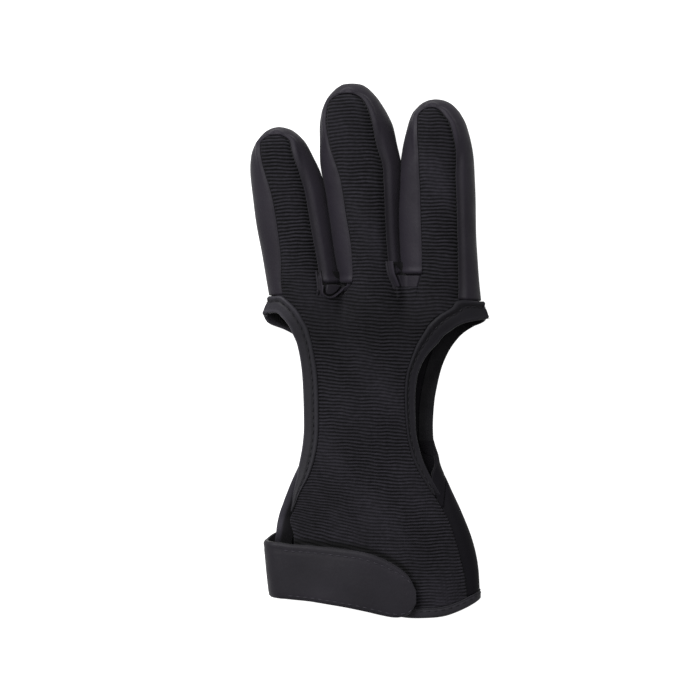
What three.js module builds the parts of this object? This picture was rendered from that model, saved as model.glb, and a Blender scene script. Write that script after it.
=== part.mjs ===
// Three-finger archery glove for the right hand, lying palm down with the back of the hand up.
// Millimetres, +X to the little finger side, +Y to the fingertips, +Z up.
// The origin is below the middle of the glove, on the surface that it lies on.
import * as THREE from 'three';

// Driving dimensions
const HAND_LENGTH = 122.5;
const HAND_HALF_WIDTH = 40.5;
const HAND_MIDDLE_X = 2.75;
const KNUCKLE_Y = 20.16;
const KNUCKLE_SLOPE = 0.025;
const KNUCKLE_HEIGHT = 18;
const FINGER_HEIGHT = 17;
const INDEX_WIDTH = 28.4;
const MIDDLE_WIDTH = 29.8;
const RING_WIDTH = 30;
const MIDDLE_BASE_X = 2.1;
const MIDDLE_BASE_SHARE = 0.78;
const INDEX_BASE_GAP = 0.5;
const RING_BASE_GAP = -0.4;
const INDEX_SPLAY = -10;
const MIDDLE_SPLAY = -8.4;
const RING_SPLAY = -2.5;
const WEB_LENGTH = 5.2;
const WEB_HEIGHT = 11.5;
const FABRIC_WALL = 1.6;
const STALL_WALL = 1.4;
const PALM_WALL = 1.5;
const BINDING_WALL = 2.0;
const BINDING_WIDTH = 6.0;
const HEM_WALL = 2.0;
const HEM_WIDTH = 3.8;
const WEB_WALL = 1.4;
const STRAP_WALL = 1.8;
const STRAP_UNDER_LENGTH = 22;
const STRAP_SIDE_X = -40.4;
const STRAP_END_X = 17.9;
const STRAP_LOOP_REACH = 6.5;
const STRAP_SLANT = 2;
const STRAP_SLANT_REACH = 20;
const STRAP_BED_START = 9;
const STRAP_BED_FADE = 7;
const PAD_WALL = 1.1;
const PAD_LENGTH = 20;
const PAD_WIDTH = 8.5;
const PAD_INSET = 5;
const PAD_RISE = 7;
const PAD_ALONG = 0.889;
const CURL_HEIGHT = 6.5;
const CURL_REACH = 12;
const SEAM_GAP = 0.32;
const FINGER_GAP = 0.5;
const PALM_SEAM_TURN = 0.012;
const CURLED_SEAM_TURN = 0.062;

// Form of every cross section: a full crown, a flat floor and tight lower corners
const SIDE_SHARE = 0.42;
const CROWN_POWER = 0.8;
const FLOOR_POWER = 0.3;
const FLOOR_FULLNESS = 1.15;
const KNUCKLE_FADE = 0.2;
const TIP_ROUND_START = 0.76;
const TIP_ROUND_POWER = 2.4;

// A turn that means the back panel's own edge
const BESIDE_BACK = 2;

// Columns: along the hand from knuckles to hem, both sides and the crown as shares
const HAND_SECTIONS = table(['along', 'left', 'right', 'crown'], [
  [0.00, -1.030, 1.020, 1.00],
  [0.06, -1.070, 1.066, 1.00],
  [0.10, -1.045, 1.020, 0.97],
  [0.15, -0.930, 0.860, 0.92],
  [0.25, -0.840, 0.690, 0.82],
  [0.40, -0.810, 0.615, 0.73],
  [0.50, -0.840, 0.605, 0.71],
  [0.58, -0.920, 0.700, 0.73],
  [0.66, -0.980, 0.813, 0.77],
  [0.75, -1.010, 0.916, 0.80],
  [0.85, -1.020, 0.978, 0.82],
  [1.00, -1.020, 1.000, 0.80],
]);

// Columns: place across the hand, and how far along the hem's edge lies there
const HEM_LINE = table(['across', 'along'], [
  [-1.10, 0.946],
  [-0.60, 0.947],
  [-0.34, 0.953],
  [0.04, 0.975],
  [0.28, 0.991],
  [0.51, 0.990],
  [0.65, 0.984],
  [0.78, 0.970],
  [0.89, 0.954],
  [1.10, 0.920],
]);

// Columns: edge of the back panel and how wide the binding beside it is
const BACK_LEFT = table(['along', 'across', 'width'], [
  [0.00, -0.890, 1.00],
  [0.02, -0.812, 1.00],
  [0.04, -0.746, 1.05],
  [0.07, -0.690, 1.10],
  [0.105, -0.633, 1.12],
  [0.15, -0.596, 0.97],
  [0.20, -0.567, 0.97],
  [0.26, -0.544, 0.99],
  [0.40, -0.536, 0.98],
  [0.455, -0.546, 0.97],
  [0.50, -0.570, 0.96],
  [0.54, -0.604, 0.88],
  [0.575, -0.648, 0.68],
  [0.61, -0.706, 0.46],
  [0.65, -0.754, 0.24],
  [0.673, -0.783, 0.12],
  [0.70, -0.808, 0.10],
  [0.74, -0.775, 0.10],
  [0.80, -0.775, 0.10],
  [0.87, -0.812, 0.10],
  [1.00, -0.850, 0.10],
]);

const BACK_RIGHT = table(['along', 'across', 'width'], [
  [0.00, 0.780, 1.00],
  [0.03, 0.686, 1.00],
  [0.055, 0.563, 1.10],
  [0.09, 0.470, 1.20],
  [0.12, 0.421, 1.15],
  [0.145, 0.374, 1.08],
  [0.19, 0.324, 0.84],
  [0.24, 0.279, 0.75],
  [0.28, 0.270, 0.70],
  [0.33, 0.270, 0.69],
  [0.38, 0.280, 0.63],
  [0.435, 0.299, 0.60],
  [0.475, 0.328, 0.62],
  [0.52, 0.376, 0.62],
  [0.555, 0.434, 0.58],
  [0.59, 0.501, 0.55],
  [0.62, 0.569, 0.44],
  [0.65, 0.626, 0.33],
  [0.69, 0.691, 0.20],
  [0.75, 0.752, 0.20],
  [0.81, 0.801, 0.20],
  [0.87, 0.845, 0.20],
  [1.00, 0.880, 0.20],
]);

// Columns: free edges of the palm as the photo shows them
const PALM_LEFT = table(['along', 'across'], [
  [0.00, -1.050],
  [0.07, -1.060],
  [0.088, -1.020],
  [0.105, -0.875],
  [0.125, -0.766],
  [0.15, -0.719],
  [0.20, -0.691],
  [0.30, -0.668],
  [0.42, -0.665],
  [0.48, -0.685],
  [0.53, -0.724],
  [0.575, -0.791],
  [0.615, -0.840],
  [0.65, -0.879],
  [0.69, -0.918],
  [0.78, -0.955],
  [0.86, -0.965],
  [1.00, -0.945],
]);

const PALM_RIGHT = table(['along', 'across'], [
  [0.00, 1.040],
  [0.052, 1.045],
  [0.073, 0.975],
  [0.093, 0.880],
  [0.112, 0.812],
  [0.15, 0.724],
  [0.19, 0.663],
  [0.225, 0.626],
  [0.275, 0.591],
  [0.32, 0.568],
  [0.385, 0.554],
  [0.435, 0.557],
  [0.47, 0.568],
  [0.51, 0.600],
  [0.55, 0.650],
  [0.62, 0.760],
  [1.00, 0.900],
]);

// Columns: how each binding turns round the side of the hand at the knuckles, inner and outer edge
const LEFT_TURN = table(['innerAlong', 'innerTurn', 'outerAlong', 'outerTurn'], [
  [0.078, BESIDE_BACK, 0.084, 1.42],
  [0.050, BESIDE_BACK, 0.068, 1.38],
  [0.025, BESIDE_BACK, 0.058, 1.34],
  [0.003, BESIDE_BACK, 0.055, 1.28],
  [0.003, 1.20, 0.056, 1.17],
  [0.003, 1.05, 0.060, 1.04],
  [0.003, 0.97, 0.064, 0.98],
  [0.003, 0.86, 0.068, 0.95],
]);

const RIGHT_TURN = table(['innerAlong', 'innerTurn', 'outerAlong', 'outerTurn'], [
  [0.105, BESIDE_BACK, 0.112, 1.61],
  [0.078, BESIDE_BACK, 0.090, 1.55],
  [0.050, BESIDE_BACK, 0.078, 1.49],
  [0.025, BESIDE_BACK, 0.070, 1.40],
  [0.003, BESIDE_BACK, 0.063, 1.29],
  [0.003, 1.22, 0.058, 1.17],
  [0.003, 1.05, 0.056, 1.04],
  [0.003, 0.97, 0.056, 0.98],
  [0.003, 0.86, 0.057, 0.95],
]);

// Columns: where each binding's rows lie on the palm, for its inner and its outer edge
const PALM_BINDING_ROWS = table(['inner', 'outer'], [
  [0.003, 0.078],
  [0.040, 0.092],
  [0.075, 0.104],
  [0.110, 0.125],
  [0.150, 0.153],
  [0.200, 0.200],
  [0.260, 0.260],
  [0.330, 0.330],
  [0.400, 0.400],
  [0.450, 0.450],
  [0.478, 0.478],
  [0.500, 0.500],
  [0.522, 0.522],
  [0.545, 0.545],
  [0.590, 0.590],
  [0.645, 0.645],
]);

// Columns: how far the palm's free edge has climbed the little finger side, from floor to back panel
const PALM_CLIMB = table(['along', 'share'], [
  [0.44, 0.00],
  [0.475, 0.10],
  [0.505, 0.36],
  [0.54, 0.70],
  [0.57, 0.85],
  [0.61, 0.95],
  [0.655, 1.00],
  [1.00, 1.00],
]);

// Columns: edges of the strap, along the hand, from the thumb side to its rounded end
const STRAP_EDGES = table(['share', 'upper', 'lower'], [
  [0.00, 0.770, 0.930],
  [0.10, 0.774, 0.940],
  [0.30, 0.773, 0.947],
  [0.50, 0.779, 0.957],
  [0.66, 0.788, 0.970],
  [0.78, 0.806, 0.982],
  [0.86, 0.825, 0.987],
  [0.92, 0.844, 0.983],
  [0.96, 0.864, 0.973],
  [1.00, 0.902, 0.943],
]);

const INDEX_BASE_X = MIDDLE_BASE_X - besideMiddle(INDEX_WIDTH, INDEX_BASE_GAP);
const RING_BASE_X = MIDDLE_BASE_X + besideMiddle(RING_WIDTH, RING_BASE_GAP);

// Each finger: base and tip, then half width and sideways lean as shares of half the finger's width
const INDEX = {
  baseX: INDEX_BASE_X, tipX: INDEX_BASE_X + INDEX_SPLAY, tipY: 85.8,
  width: INDEX_WIDTH, crotchLeft: 0, crotchRight: 1,
  sections: table(['share', 'half', 'lean'], [
    [0.00, 1.00, 0.00],
    [0.22, 0.985, -0.03],
    [0.47, 1.00, -0.03],
    [0.71, 0.98, -0.03],
    [0.83, 0.84, -0.07],
    [0.90, 0.70, -0.05],
    [0.935, 0.58, -0.03],
    [0.953, 0.50, -0.02],
    [0.970, 0.41, -0.01],
    [0.982, 0.32, 0.00],
    [0.994, 0.17, 0.00],
    [1.00, 0.00, 0.00],
  ]),
  strip: table(['share', 'left', 'right'], [
    [0.00, -0.62, 0.44],
    [0.08, -0.60, 0.45],
    [0.22, -0.49, 0.50],
    [0.40, -0.45, 0.475],
    [0.58, -0.47, 0.45],
    [0.76, -0.60, 0.40],
    [0.86, -0.70, 0.41],
    [0.91, -0.76, 0.42],
    [0.935, -0.50, 0.35],
    [1.00, -0.40, 0.30],
  ]),
  stripEnd: 0.938,
};

const MIDDLE = {
  baseX: MIDDLE_BASE_X, tipX: MIDDLE_BASE_X + MIDDLE_SPLAY, tipY: 102.2,
  width: MIDDLE_WIDTH, crotchLeft: 1, crotchRight: 1,
  sections: table(['share', 'half', 'lean'], [
    [0.00, MIDDLE_BASE_SHARE, 0.00],
    [0.175, 0.82, -0.06],
    [0.38, 0.89, -0.05],
    [0.57, 0.98, -0.01],
    [0.69, 1.00, 0.00],
    [0.80, 0.955, 0.00],
    [0.86, 0.86, -0.02],
    [0.89, 0.79, -0.03],
    [0.937, 0.645, -0.03],
    [0.974, 0.455, -0.01],
    [0.988, 0.34, 0.00],
    [0.997, 0.22, 0.00],
    [1.00, 0.00, 0.00],
  ]),
  strip: table(['share', 'left', 'right'], [
    [0.00, -0.75, 0.68],
    [0.06, -0.66, 0.66],
    [0.14, -0.54, 0.61],
    [0.25, -0.47, 0.62],
    [0.39, -0.51, 0.60],
    [0.54, -0.555, 0.56],
    [0.61, -0.63, 0.55],
    [0.70, -0.76, 0.47],
    [0.80, -0.84, 0.445],
    [0.865, -0.86, 0.45],
    [0.905, -0.84, 0.38],
    [0.94, -0.66, 0.15],
    [1.00, -0.50, 0.00],
  ]),
  stripEnd: 0.942,
};

const RING = {
  baseX: RING_BASE_X, tipX: RING_BASE_X + RING_SPLAY, tipY: 96.4,
  width: RING_WIDTH, crotchLeft: 1, crotchRight: 0,
  sections: table(['share', 'half', 'lean'], [
    [0.00, 1.00, 0.00],
    [0.19, 1.00, -0.04],
    [0.41, 1.00, -0.06],
    [0.59, 0.96, -0.01],
    [0.745, 0.91, 0.01],
    [0.867, 0.765, 0.02],
    [0.93, 0.62, 0.00],
    [0.962, 0.48, 0.00],
    [0.977, 0.39, 0.00],
    [0.987, 0.30, 0.00],
    [0.996, 0.17, 0.00],
    [1.00, 0.00, 0.00],
  ]),
  strip: table(['share', 'left', 'right'], [
    [0.00, -0.66, 0.40],
    [0.06, -0.55, 0.44],
    [0.19, -0.45, 0.48],
    [0.42, -0.416, 0.51],
    [0.60, -0.49, 0.48],
    [0.72, -0.57, 0.50],
    [0.78, -0.62, 0.47],
    [0.87, -0.71, 0.39],
    [0.915, -0.74, 0.21],
    [0.95, -0.66, -0.12],
    [1.00, -0.50, -0.20],
  ]),
  stripEnd: 0.948,
};

const FINGERS = [INDEX, MIDDLE, RING];

// Where the back panel's strips and crotches lie across the knuckles, as shares of its width
const KNUCKLE_SPLITS = [0, 0.217, 0.336, 0.662, 0.754, 1];
const SPLIT_CELLS = [4, 2, 5, 2, 4];

const FINGER_ROWS = [0, 0.09, 0.19, 0.3, 0.41, 0.52, 0.63, 0.73, 0.81, 0.87, 0.91, 0.94, 0.965, 0.983, 0.994];
const BACK_ROWS = [
  0, 0.025, 0.05, 0.078, 0.105, 0.14, 0.18, 0.23, 0.29, 0.36, 0.42,
  0.47, 0.52, 0.565, 0.61, 0.645, 0.672, 0.7, 0.74, 0.79, 0.85,
];
const PALM_CUFF_ROWS = [0.67, 0.695, 0.725, 0.76, 0.8, 0.86];
const THUMB_BINDING_END = 0.8;
const PALM_CELLS = 18;
const HEM_TOP_CELLS = 16;
const HEM_FLOOR_TURNS = [0.965, 0.9, 0.8, 0.68, 0.57, 0.46, 0.34, 0.2, 0.05, -0.1, -0.25, -0.4, -0.52, -0.64];
const DROP_START = 0.64;
const FLOOR_TURNS = [1, 0.965, 0.9, 0.78, 0.57, 0.2, -0.2, -0.57, -0.78, -0.9, -0.965, -1];
const UPPER_SIDE_CELLS = 3;
const STRIP_CELLS = 4;

function table(names, rows) {
  return rows.map((row) => Object.fromEntries(names.map((name, index) => [name, row[index]])));
}

function besideMiddle(width, gap) {
  return (MIDDLE_BASE_SHARE * MIDDLE_WIDTH + width) / 2 + gap;
}

function clamp(value, low, high) {
  return Math.min(high, Math.max(low, value));
}

function mix(from, to, share) {
  return from + (to - from) * share;
}

function smooth(share) {
  const held = clamp(share, 0, 1);
  return held * held * (3 - 2 * held);
}

// Reads one column of a table at a place, on a smooth curve through its rows
function read(rows, key, column, place) {
  const last = rows.length - 1;
  const held = clamp(place, rows[0][key], rows[last][key]);
  let row = 0;
  while (row < last - 1 && rows[row + 1][key] < held) row += 1;
  const slope = (index) => {
    const before = rows[Math.max(index - 1, 0)];
    const after = rows[Math.min(index + 1, last)];
    return (after[column] - before[column]) / (after[key] - before[key]);
  };
  const from = rows[row];
  const to = rows[row + 1];
  const step = to[key] - from[key];
  const share = (held - from[key]) / step;
  const square = share * share;
  const cube = square * share;
  return (2 * cube - 3 * square + 1) * from[column]
    + (cube - 2 * square + share) * step * slope(row)
    + (3 * square - 2 * cube) * to[column]
    + (cube - square) * step * slope(row + 1);
}

// The turn runs round a section: 0 under the palm, 1 at the right side, 2 on top, -1 at the left side
function topTurnRight(reach) {
  return 2 - (2 / Math.PI) * Math.asin(clamp(reach, -1, 1));
}

function topTurnLeft(reach) {
  return topTurnRight(reach) - 4;
}

function floorTurn(reach) {
  return (2 / Math.PI) * Math.asin(clamp(reach, -1, 1));
}

function crownHeight(section, reach) {
  const arch = (1 - clamp(reach, -1, 1) ** 2) ** (CROWN_POWER / 2);
  return mix(section.side, section.crown, arch);
}

function floorHeight(section, lean) {
  return mix(section.side, section.low, Math.min(1, FLOOR_FULLNESS * lean ** FLOOR_POWER));
}

function fingerSection(finger, share) {
  const lean = read(finger.sections, 'share', 'lean', share) * finger.width / 2;
  const half = Math.max(read(finger.sections, 'share', 'half', share) * finger.width / 2 - FINGER_GAP / 2, 0.3);
  const toTip = clamp((share - TIP_ROUND_START) / (1 - TIP_ROUND_START), 0, 0.995);
  const round = Math.sqrt(1 - toTip ** TIP_ROUND_POWER);
  const side = FINGER_HEIGHT * SIDE_SHARE;
  return {
    middle: mix(finger.baseX, finger.tipX, share) + lean,
    half,
    side,
    low: side * (1 - round),
    crown: mix(side, FINGER_HEIGHT, round),
  };
}

function fingerPoint(finger, share, turn) {
  const section = fingerSection(finger, share);
  const angle = (Math.PI * turn) / 2;
  const lean = Math.cos(angle);
  const reach = Math.sin(angle);
  const x = section.middle + section.half * reach;
  const baseY = KNUCKLE_Y - KNUCKLE_SLOPE * finger.baseX + SEAM_GAP;
  const y = mix(baseY, finger.tipY, share) - KNUCKLE_SLOPE * (x - section.middle) * (1 - share);
  const z = lean >= 0 ? floorHeight(section, lean) : crownHeight(section, reach);
  return [x, y, z];
}

function crotchShare(finger) {
  return WEB_LENGTH / (finger.tipY - KNUCKLE_Y);
}

function acrossAt(x) {
  return (x - HAND_MIDDLE_X) / HAND_HALF_WIDTH;
}

function xAt(across) {
  return HAND_MIDDLE_X + across * HAND_HALF_WIDTH;
}

function yAt(along, x) {
  return KNUCKLE_Y - along * HAND_LENGTH - KNUCKLE_SLOPE * x;
}

function handSection(along) {
  const left = xAt(read(HAND_SECTIONS, 'along', 'left', along));
  const right = xAt(read(HAND_SECTIONS, 'along', 'right', along));
  const crown = KNUCKLE_HEIGHT * read(HAND_SECTIONS, 'along', 'crown', along);
  return { middle: (left + right) / 2, half: (right - left) / 2, side: crown * SIDE_SHARE, crown };
}

// The palm lies on the strap where the strap is sewn on under it
function strapLift(along, x) {
  const innerX = STRAP_SIDE_X + STRAP_UNDER_LENGTH;
  const across = smooth((innerX + STRAP_BED_START - x) / STRAP_BED_FADE);
  const down = smooth((along - 0.69) / 0.065);
  return (STRAP_WALL + 1.4 * SEAM_GAP) * across * down;
}

// The palm's free edge curls up between the end of the back panel's binding and the strap
function thumbCurl(along, x) {
  const edge = xAt(read(PALM_LEFT, 'along', 'across', along));
  const near = smooth((edge + CURL_REACH - x) / CURL_REACH);
  return CURL_HEIGHT * near * smooth((along - 0.42) / 0.16) * (1 - smooth((along - 0.72) / 0.1));
}

function topHeight(x, along) {
  const section = handSection(along);
  const arch = crownHeight(section, (x - section.middle) / section.half);
  const bumps = FINGERS.map((finger) => {
    const base = fingerSection(finger, 0);
    return crownHeight(base, (x - base.middle) / base.half);
  });
  return mix(Math.max(WEB_HEIGHT, ...bumps), arch, smooth(along / KNUCKLE_FADE));
}

function handTop(x, along) {
  return [x, yAt(along, x), topHeight(x, along)];
}

function handPoint(along, turn) {
  const section = handSection(along);
  const angle = (Math.PI * turn) / 2;
  const lean = Math.cos(angle);
  const x = section.middle + section.half * Math.sin(angle);
  if (lean < 0) return handTop(x, along);
  const low = strapLift(along, x) + thumbCurl(along, x);
  return [x, yAt(along, x), floorHeight({ side: Math.max(section.side, low), low }, lean)];
}

function handNormal(along, turn) {
  const step = 0.004;
  const down = new THREE.Vector3(...handPoint(along + step, turn));
  down.sub(new THREE.Vector3(...handPoint(along - step, turn)));
  const round = new THREE.Vector3(...handPoint(along, turn + step));
  round.sub(new THREE.Vector3(...handPoint(along, turn - step)));
  return round.cross(down).normalize();
}

function reachAt(along, x) {
  const section = handSection(along);
  return (x - section.middle) / section.half;
}

function hemAlong(x) {
  return read(HEM_LINE, 'across', 'along', acrossAt(x));
}

function panelEndAlong(x) {
  return hemAlong(x) - (HEM_WIDTH + 1.6 * SEAM_GAP) / HAND_LENGTH;
}

// Rows run straight across the hand, and near the cuff they bend to follow the hem
function rowAlong(row, x) {
  const end = panelEndAlong(HAND_MIDDLE_X);
  return row + (panelEndAlong(x) - end) * smooth((row - DROP_START) / (end - DROP_START));
}

function backLeftX(along) {
  return xAt(read(BACK_LEFT, 'along', 'across', along));
}

function backRightX(along) {
  return xAt(read(BACK_RIGHT, 'along', 'across', along));
}

// How much wider a slanting edge strip is when it is measured straight across the hand
function slant(rows, along) {
  const reach = 0.012;
  const run = xAt(read(rows, 'along', 'across', along + reach)) - xAt(read(rows, 'along', 'across', along - reach));
  return Math.min(Math.hypot(1, run / (2 * reach * HAND_LENGTH)), 2.1);
}

function palmLeftTurn(along) {
  const edge = xAt(read(PALM_LEFT, 'along', 'across', along));
  return floorTurn(reachAt(along, edge + BINDING_WIDTH * slant(PALM_LEFT, along)));
}

// The palm's free edge climbs the little finger side until it meets the back panel
function palmRightEdge(along) {
  const floor = floorTurn(reachAt(along, xAt(read(PALM_RIGHT, 'along', 'across', along))));
  const seam = topTurnRight(reachAt(along, backRightX(along) + SEAM_GAP));
  return mix(floor, seam, read(PALM_CLIMB, 'along', 'share', along));
}

// The turn that lies a length back round a section from another turn
function turnBack(along, turn, length) {
  const step = 0.005;
  let [x, , z] = handPoint(along, turn);
  let run = 0;
  let reached = turn;
  while (run < length) {
    reached -= step;
    const [nextX, , nextZ] = handPoint(along, reached);
    run += Math.hypot(nextX - x, nextZ - z);
    [x, z] = [nextX, nextZ];
  }
  return reached;
}

// The seam between the palm and its binding, and past the binding the palm's own edge
function palmRightTurn(along) {
  const edge = xAt(read(PALM_RIGHT, 'along', 'across', along));
  const floor = floorTurn(reachAt(along, edge - BINDING_WIDTH * slant(PALM_RIGHT, along)));
  const width = BINDING_WIDTH * (1 - smooth((along - 0.56) / 0.11));
  const climbed = turnBack(along, palmRightEdge(along), width);
  return mix(floor, climbed, smooth((along - 0.43) / 0.05));
}

// A sheet is an open skin of points and triangles, which a wall makes into a closed body
class Sheet {
  constructor() {
    this.points = [];
    this.triangles = [];
    this.shared = new Map();
  }

  row(points) {
    return points.map((point) => this.points.push(point) - 1);
  }

  // A row on the hand whose outward directions a neighbouring piece shares
  handRow(places) {
    const indices = this.row(places.map(([along, turn]) => handPoint(along, turn)));
    indices.forEach((index, column) => this.shared.set(index, handNormal(...places[column])));
    return indices;
  }

  cell(a, b, c, d) {
    this.triangles.push([a, b, c], [a, c, d]);
  }

  fill(rows) {
    for (let row = 0; row + 1 < rows.length; row += 1) {
      for (let column = 0; column + 1 < rows[row].length; column += 1) {
        const near = rows[row];
        const far = rows[row + 1];
        this.cell(near[column], near[column + 1], far[column + 1], far[column]);
      }
    }
  }

  normals() {
    const sums = this.points.map(() => new THREE.Vector3());
    for (const corners of this.triangles) {
      const [a, b, c] = corners.map((index) => new THREE.Vector3(...this.points[index]));
      const face = b.sub(a).cross(c.sub(a));
      corners.forEach((index) => sums[index].add(face));
    }
    return sums.map((sum, index) => this.shared.get(index) ?? sum.normalize());
  }

  rim() {
    const seen = new Set();
    for (const [a, b, c] of this.triangles) {
      for (const [from, to] of [[a, b], [b, c], [c, a]]) seen.add(`${from},${to}`);
    }
    const edges = [...seen].map((edge) => edge.split(',').map(Number));
    return edges.filter(([from, to]) => !seen.has(`${to},${from}`));
  }

  // The inner face never goes below the surface that the glove lies on
  body(wall, raise = 0) {
    const normals = this.normals();
    const count = this.points.length;
    const positions = [];
    for (const depth of [raise, raise - wall]) {
      this.points.forEach((point, index) => {
        const normal = normals[index];
        positions.push(
          point[0] + normal.x * depth,
          point[1] + normal.y * depth,
          Math.max(point[2] + normal.z * depth, 0),
        );
      });
    }
    const faces = [];
    for (const [a, b, c] of this.triangles) {
      faces.push(a, b, c, a + count, c + count, b + count);
    }
    for (const [from, to] of this.rim()) {
      faces.push(to, from, from + count, to, from + count, to + count);
    }
    const geometry = new THREE.BufferGeometry();
    geometry.setAttribute('position', new THREE.Float32BufferAttribute(positions, 3));
    geometry.setIndex(faces);
    geometry.computeVertexNormals();
    return geometry;
  }
}

function finish(name, geometry, color, roughness) {
  const mesh = new THREE.Mesh(geometry, new THREE.MeshStandardMaterial({ color, roughness, metalness: 0 }));
  mesh.name = name;
  return mesh;
}

function leather(name, geometry) {
  return finish(name, geometry, 0x2c2a2f, 0.6);
}

function spread(from, to, cells) {
  return Array.from({ length: cells + 1 }, (_, index) => mix(from, to, index / cells));
}

// The turns round one finger, and how far each is drawn back from the knuckle line at a crotch
function fingerColumns(finger, share) {
  const right = topTurnRight(read(finger.strip, 'share', 'right', share));
  const left = topTurnLeft(read(finger.strip, 'share', 'left', share));
  return [
    ...spread(right, 1, UPPER_SIDE_CELLS),
    ...FLOOR_TURNS.slice(1, -1),
    ...spread(-1, left, UPPER_SIDE_CELLS),
    ...spread(left, right - 4, STRIP_CELLS).slice(1, -1),
  ];
}

function drawBack(finger, turn) {
  const upper = smooth((Math.abs(turn) - 0.75) / 0.22);
  const crotch = turn > 0 || turn < -2 ? finger.crotchRight : finger.crotchLeft;
  return upper * crotch * crotchShare(finger);
}

// A finger stall: closed over the tip, open at the knuckles and along the strip on its back
function makeStall(finger) {
  const sheet = new Sheet();
  const stripRow = FINGER_ROWS.findIndex((share) => share >= finger.stripEnd);
  const shares = FINGER_ROWS.map((share, index) => (index === stripRow ? finger.stripEnd : share));
  const sideColumns = 2 * UPPER_SIDE_CELLS + FLOOR_TURNS.length;
  const rows = shares.map((share, index) => {
    const turns = fingerColumns(finger, share);
    const kept = index < stripRow ? turns.slice(0, sideColumns) : turns;
    return sheet.row(kept.map((turn) => {
      return fingerPoint(finger, mix(drawBack(finger, turn), 1, share), turn);
    }));
  });
  sheet.fill(rows.slice(0, stripRow).concat([rows[stripRow].slice(0, sideColumns)]));
  const closed = rows.slice(stripRow).map((row) => row.concat(row[0]));
  sheet.fill(closed);
  const [tip] = sheet.row([fingerPoint(finger, 1, 0)]);
  const last = closed[closed.length - 1];
  for (let column = 0; column + 1 < last.length; column += 1) {
    sheet.triangles.push([last[column], last[column + 1], tip]);
  }
  return sheet.body(STALL_WALL);
}

// One row of a finger's strip, a seam's gap inside the stall's edges
function stripRowPoints(finger, share, cells) {
  const left = topTurnLeft(read(finger.strip, 'share', 'left', share));
  const right = topTurnRight(read(finger.strip, 'share', 'right', share)) - 4;
  const leftShare = mix(drawBack(finger, -1), 1, share);
  const rightShare = mix(drawBack(finger, 1), 1, share);
  const section = fingerSection(finger, leftShare);
  const inset = SEAM_GAP * mix(1.6, 3.4, smooth((share - 0.75) / 0.15)) / section.half;
  const reachLeft = Math.sin((Math.PI * left) / 2) + inset;
  const reachRight = Math.sin((Math.PI * right) / 2) - inset;
  return spread(0, 1, cells).map((place) => {
    const reach = mix(reachLeft, reachRight, place);
    return fingerPoint(finger, mix(leftShare, rightShare, place), topTurnLeft(reach));
  });
}

function makeBackPanel() {
  const sheet = new Sheet();
  const columns = [];
  SPLIT_CELLS.forEach((cells, part) => {
    const places = spread(KNUCKLE_SPLITS[part], KNUCKLE_SPLITS[part + 1], cells);
    columns.push(...(part === 0 ? places : places.slice(1)));
  });
  const handRows = [...BACK_ROWS, panelEndAlong(HAND_MIDDLE_X)].map((row) => {
    const settle = (edge) => {
      let x = edge(row);
      for (let pass = 0; pass < 4; pass += 1) x = edge(rowAlong(row, x));
      return x;
    };
    const leftX = settle(backLeftX);
    const rightX = settle(backRightX);
    return sheet.row(columns.map((place) => {
      const x = mix(leftX, rightX, place);
      return handTop(x, rowAlong(row, x));
    }));
  });
  sheet.fill([...handRows].reverse());
  let start = 0;
  FINGERS.forEach((finger, index) => {
    const cells = SPLIT_CELLS[2 * index];
    const endShare = finger.stripEnd - SEAM_GAP / (finger.tipY - KNUCKLE_Y) * 2.6;
    const shares = FINGER_ROWS.filter((share) => share < finger.stripEnd - 0.012).concat(endShare);
    const rows = shares.map((share) => sheet.row(stripRowPoints(finger, share, cells)));
    sheet.fill([handRows[0].slice(start, start + cells + 1), ...rows]);
    start += cells + (SPLIT_CELLS[2 * index + 1] ?? 0);
  });
  return sheet.body(FABRIC_WALL);
}

function makePalm() {
  const sheet = new Sheet();
  const alongs = [...PALM_BINDING_ROWS.map((row) => row.inner), ...PALM_CUFF_ROWS, panelEndAlong(HAND_MIDDLE_X)];
  const rows = alongs.map((row) => {
    const left = palmLeftTurn(row);
    const right = palmRightTurn(row);
    return sheet.handRow(spread(left, right, PALM_CELLS).map((turn) => {
      const [guessX] = handPoint(row, turn);
      return [rowAlong(row, guessX), turn];
    }));
  });
  sheet.fill(rows);
  return sheet.body(PALM_WALL);
}

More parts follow.
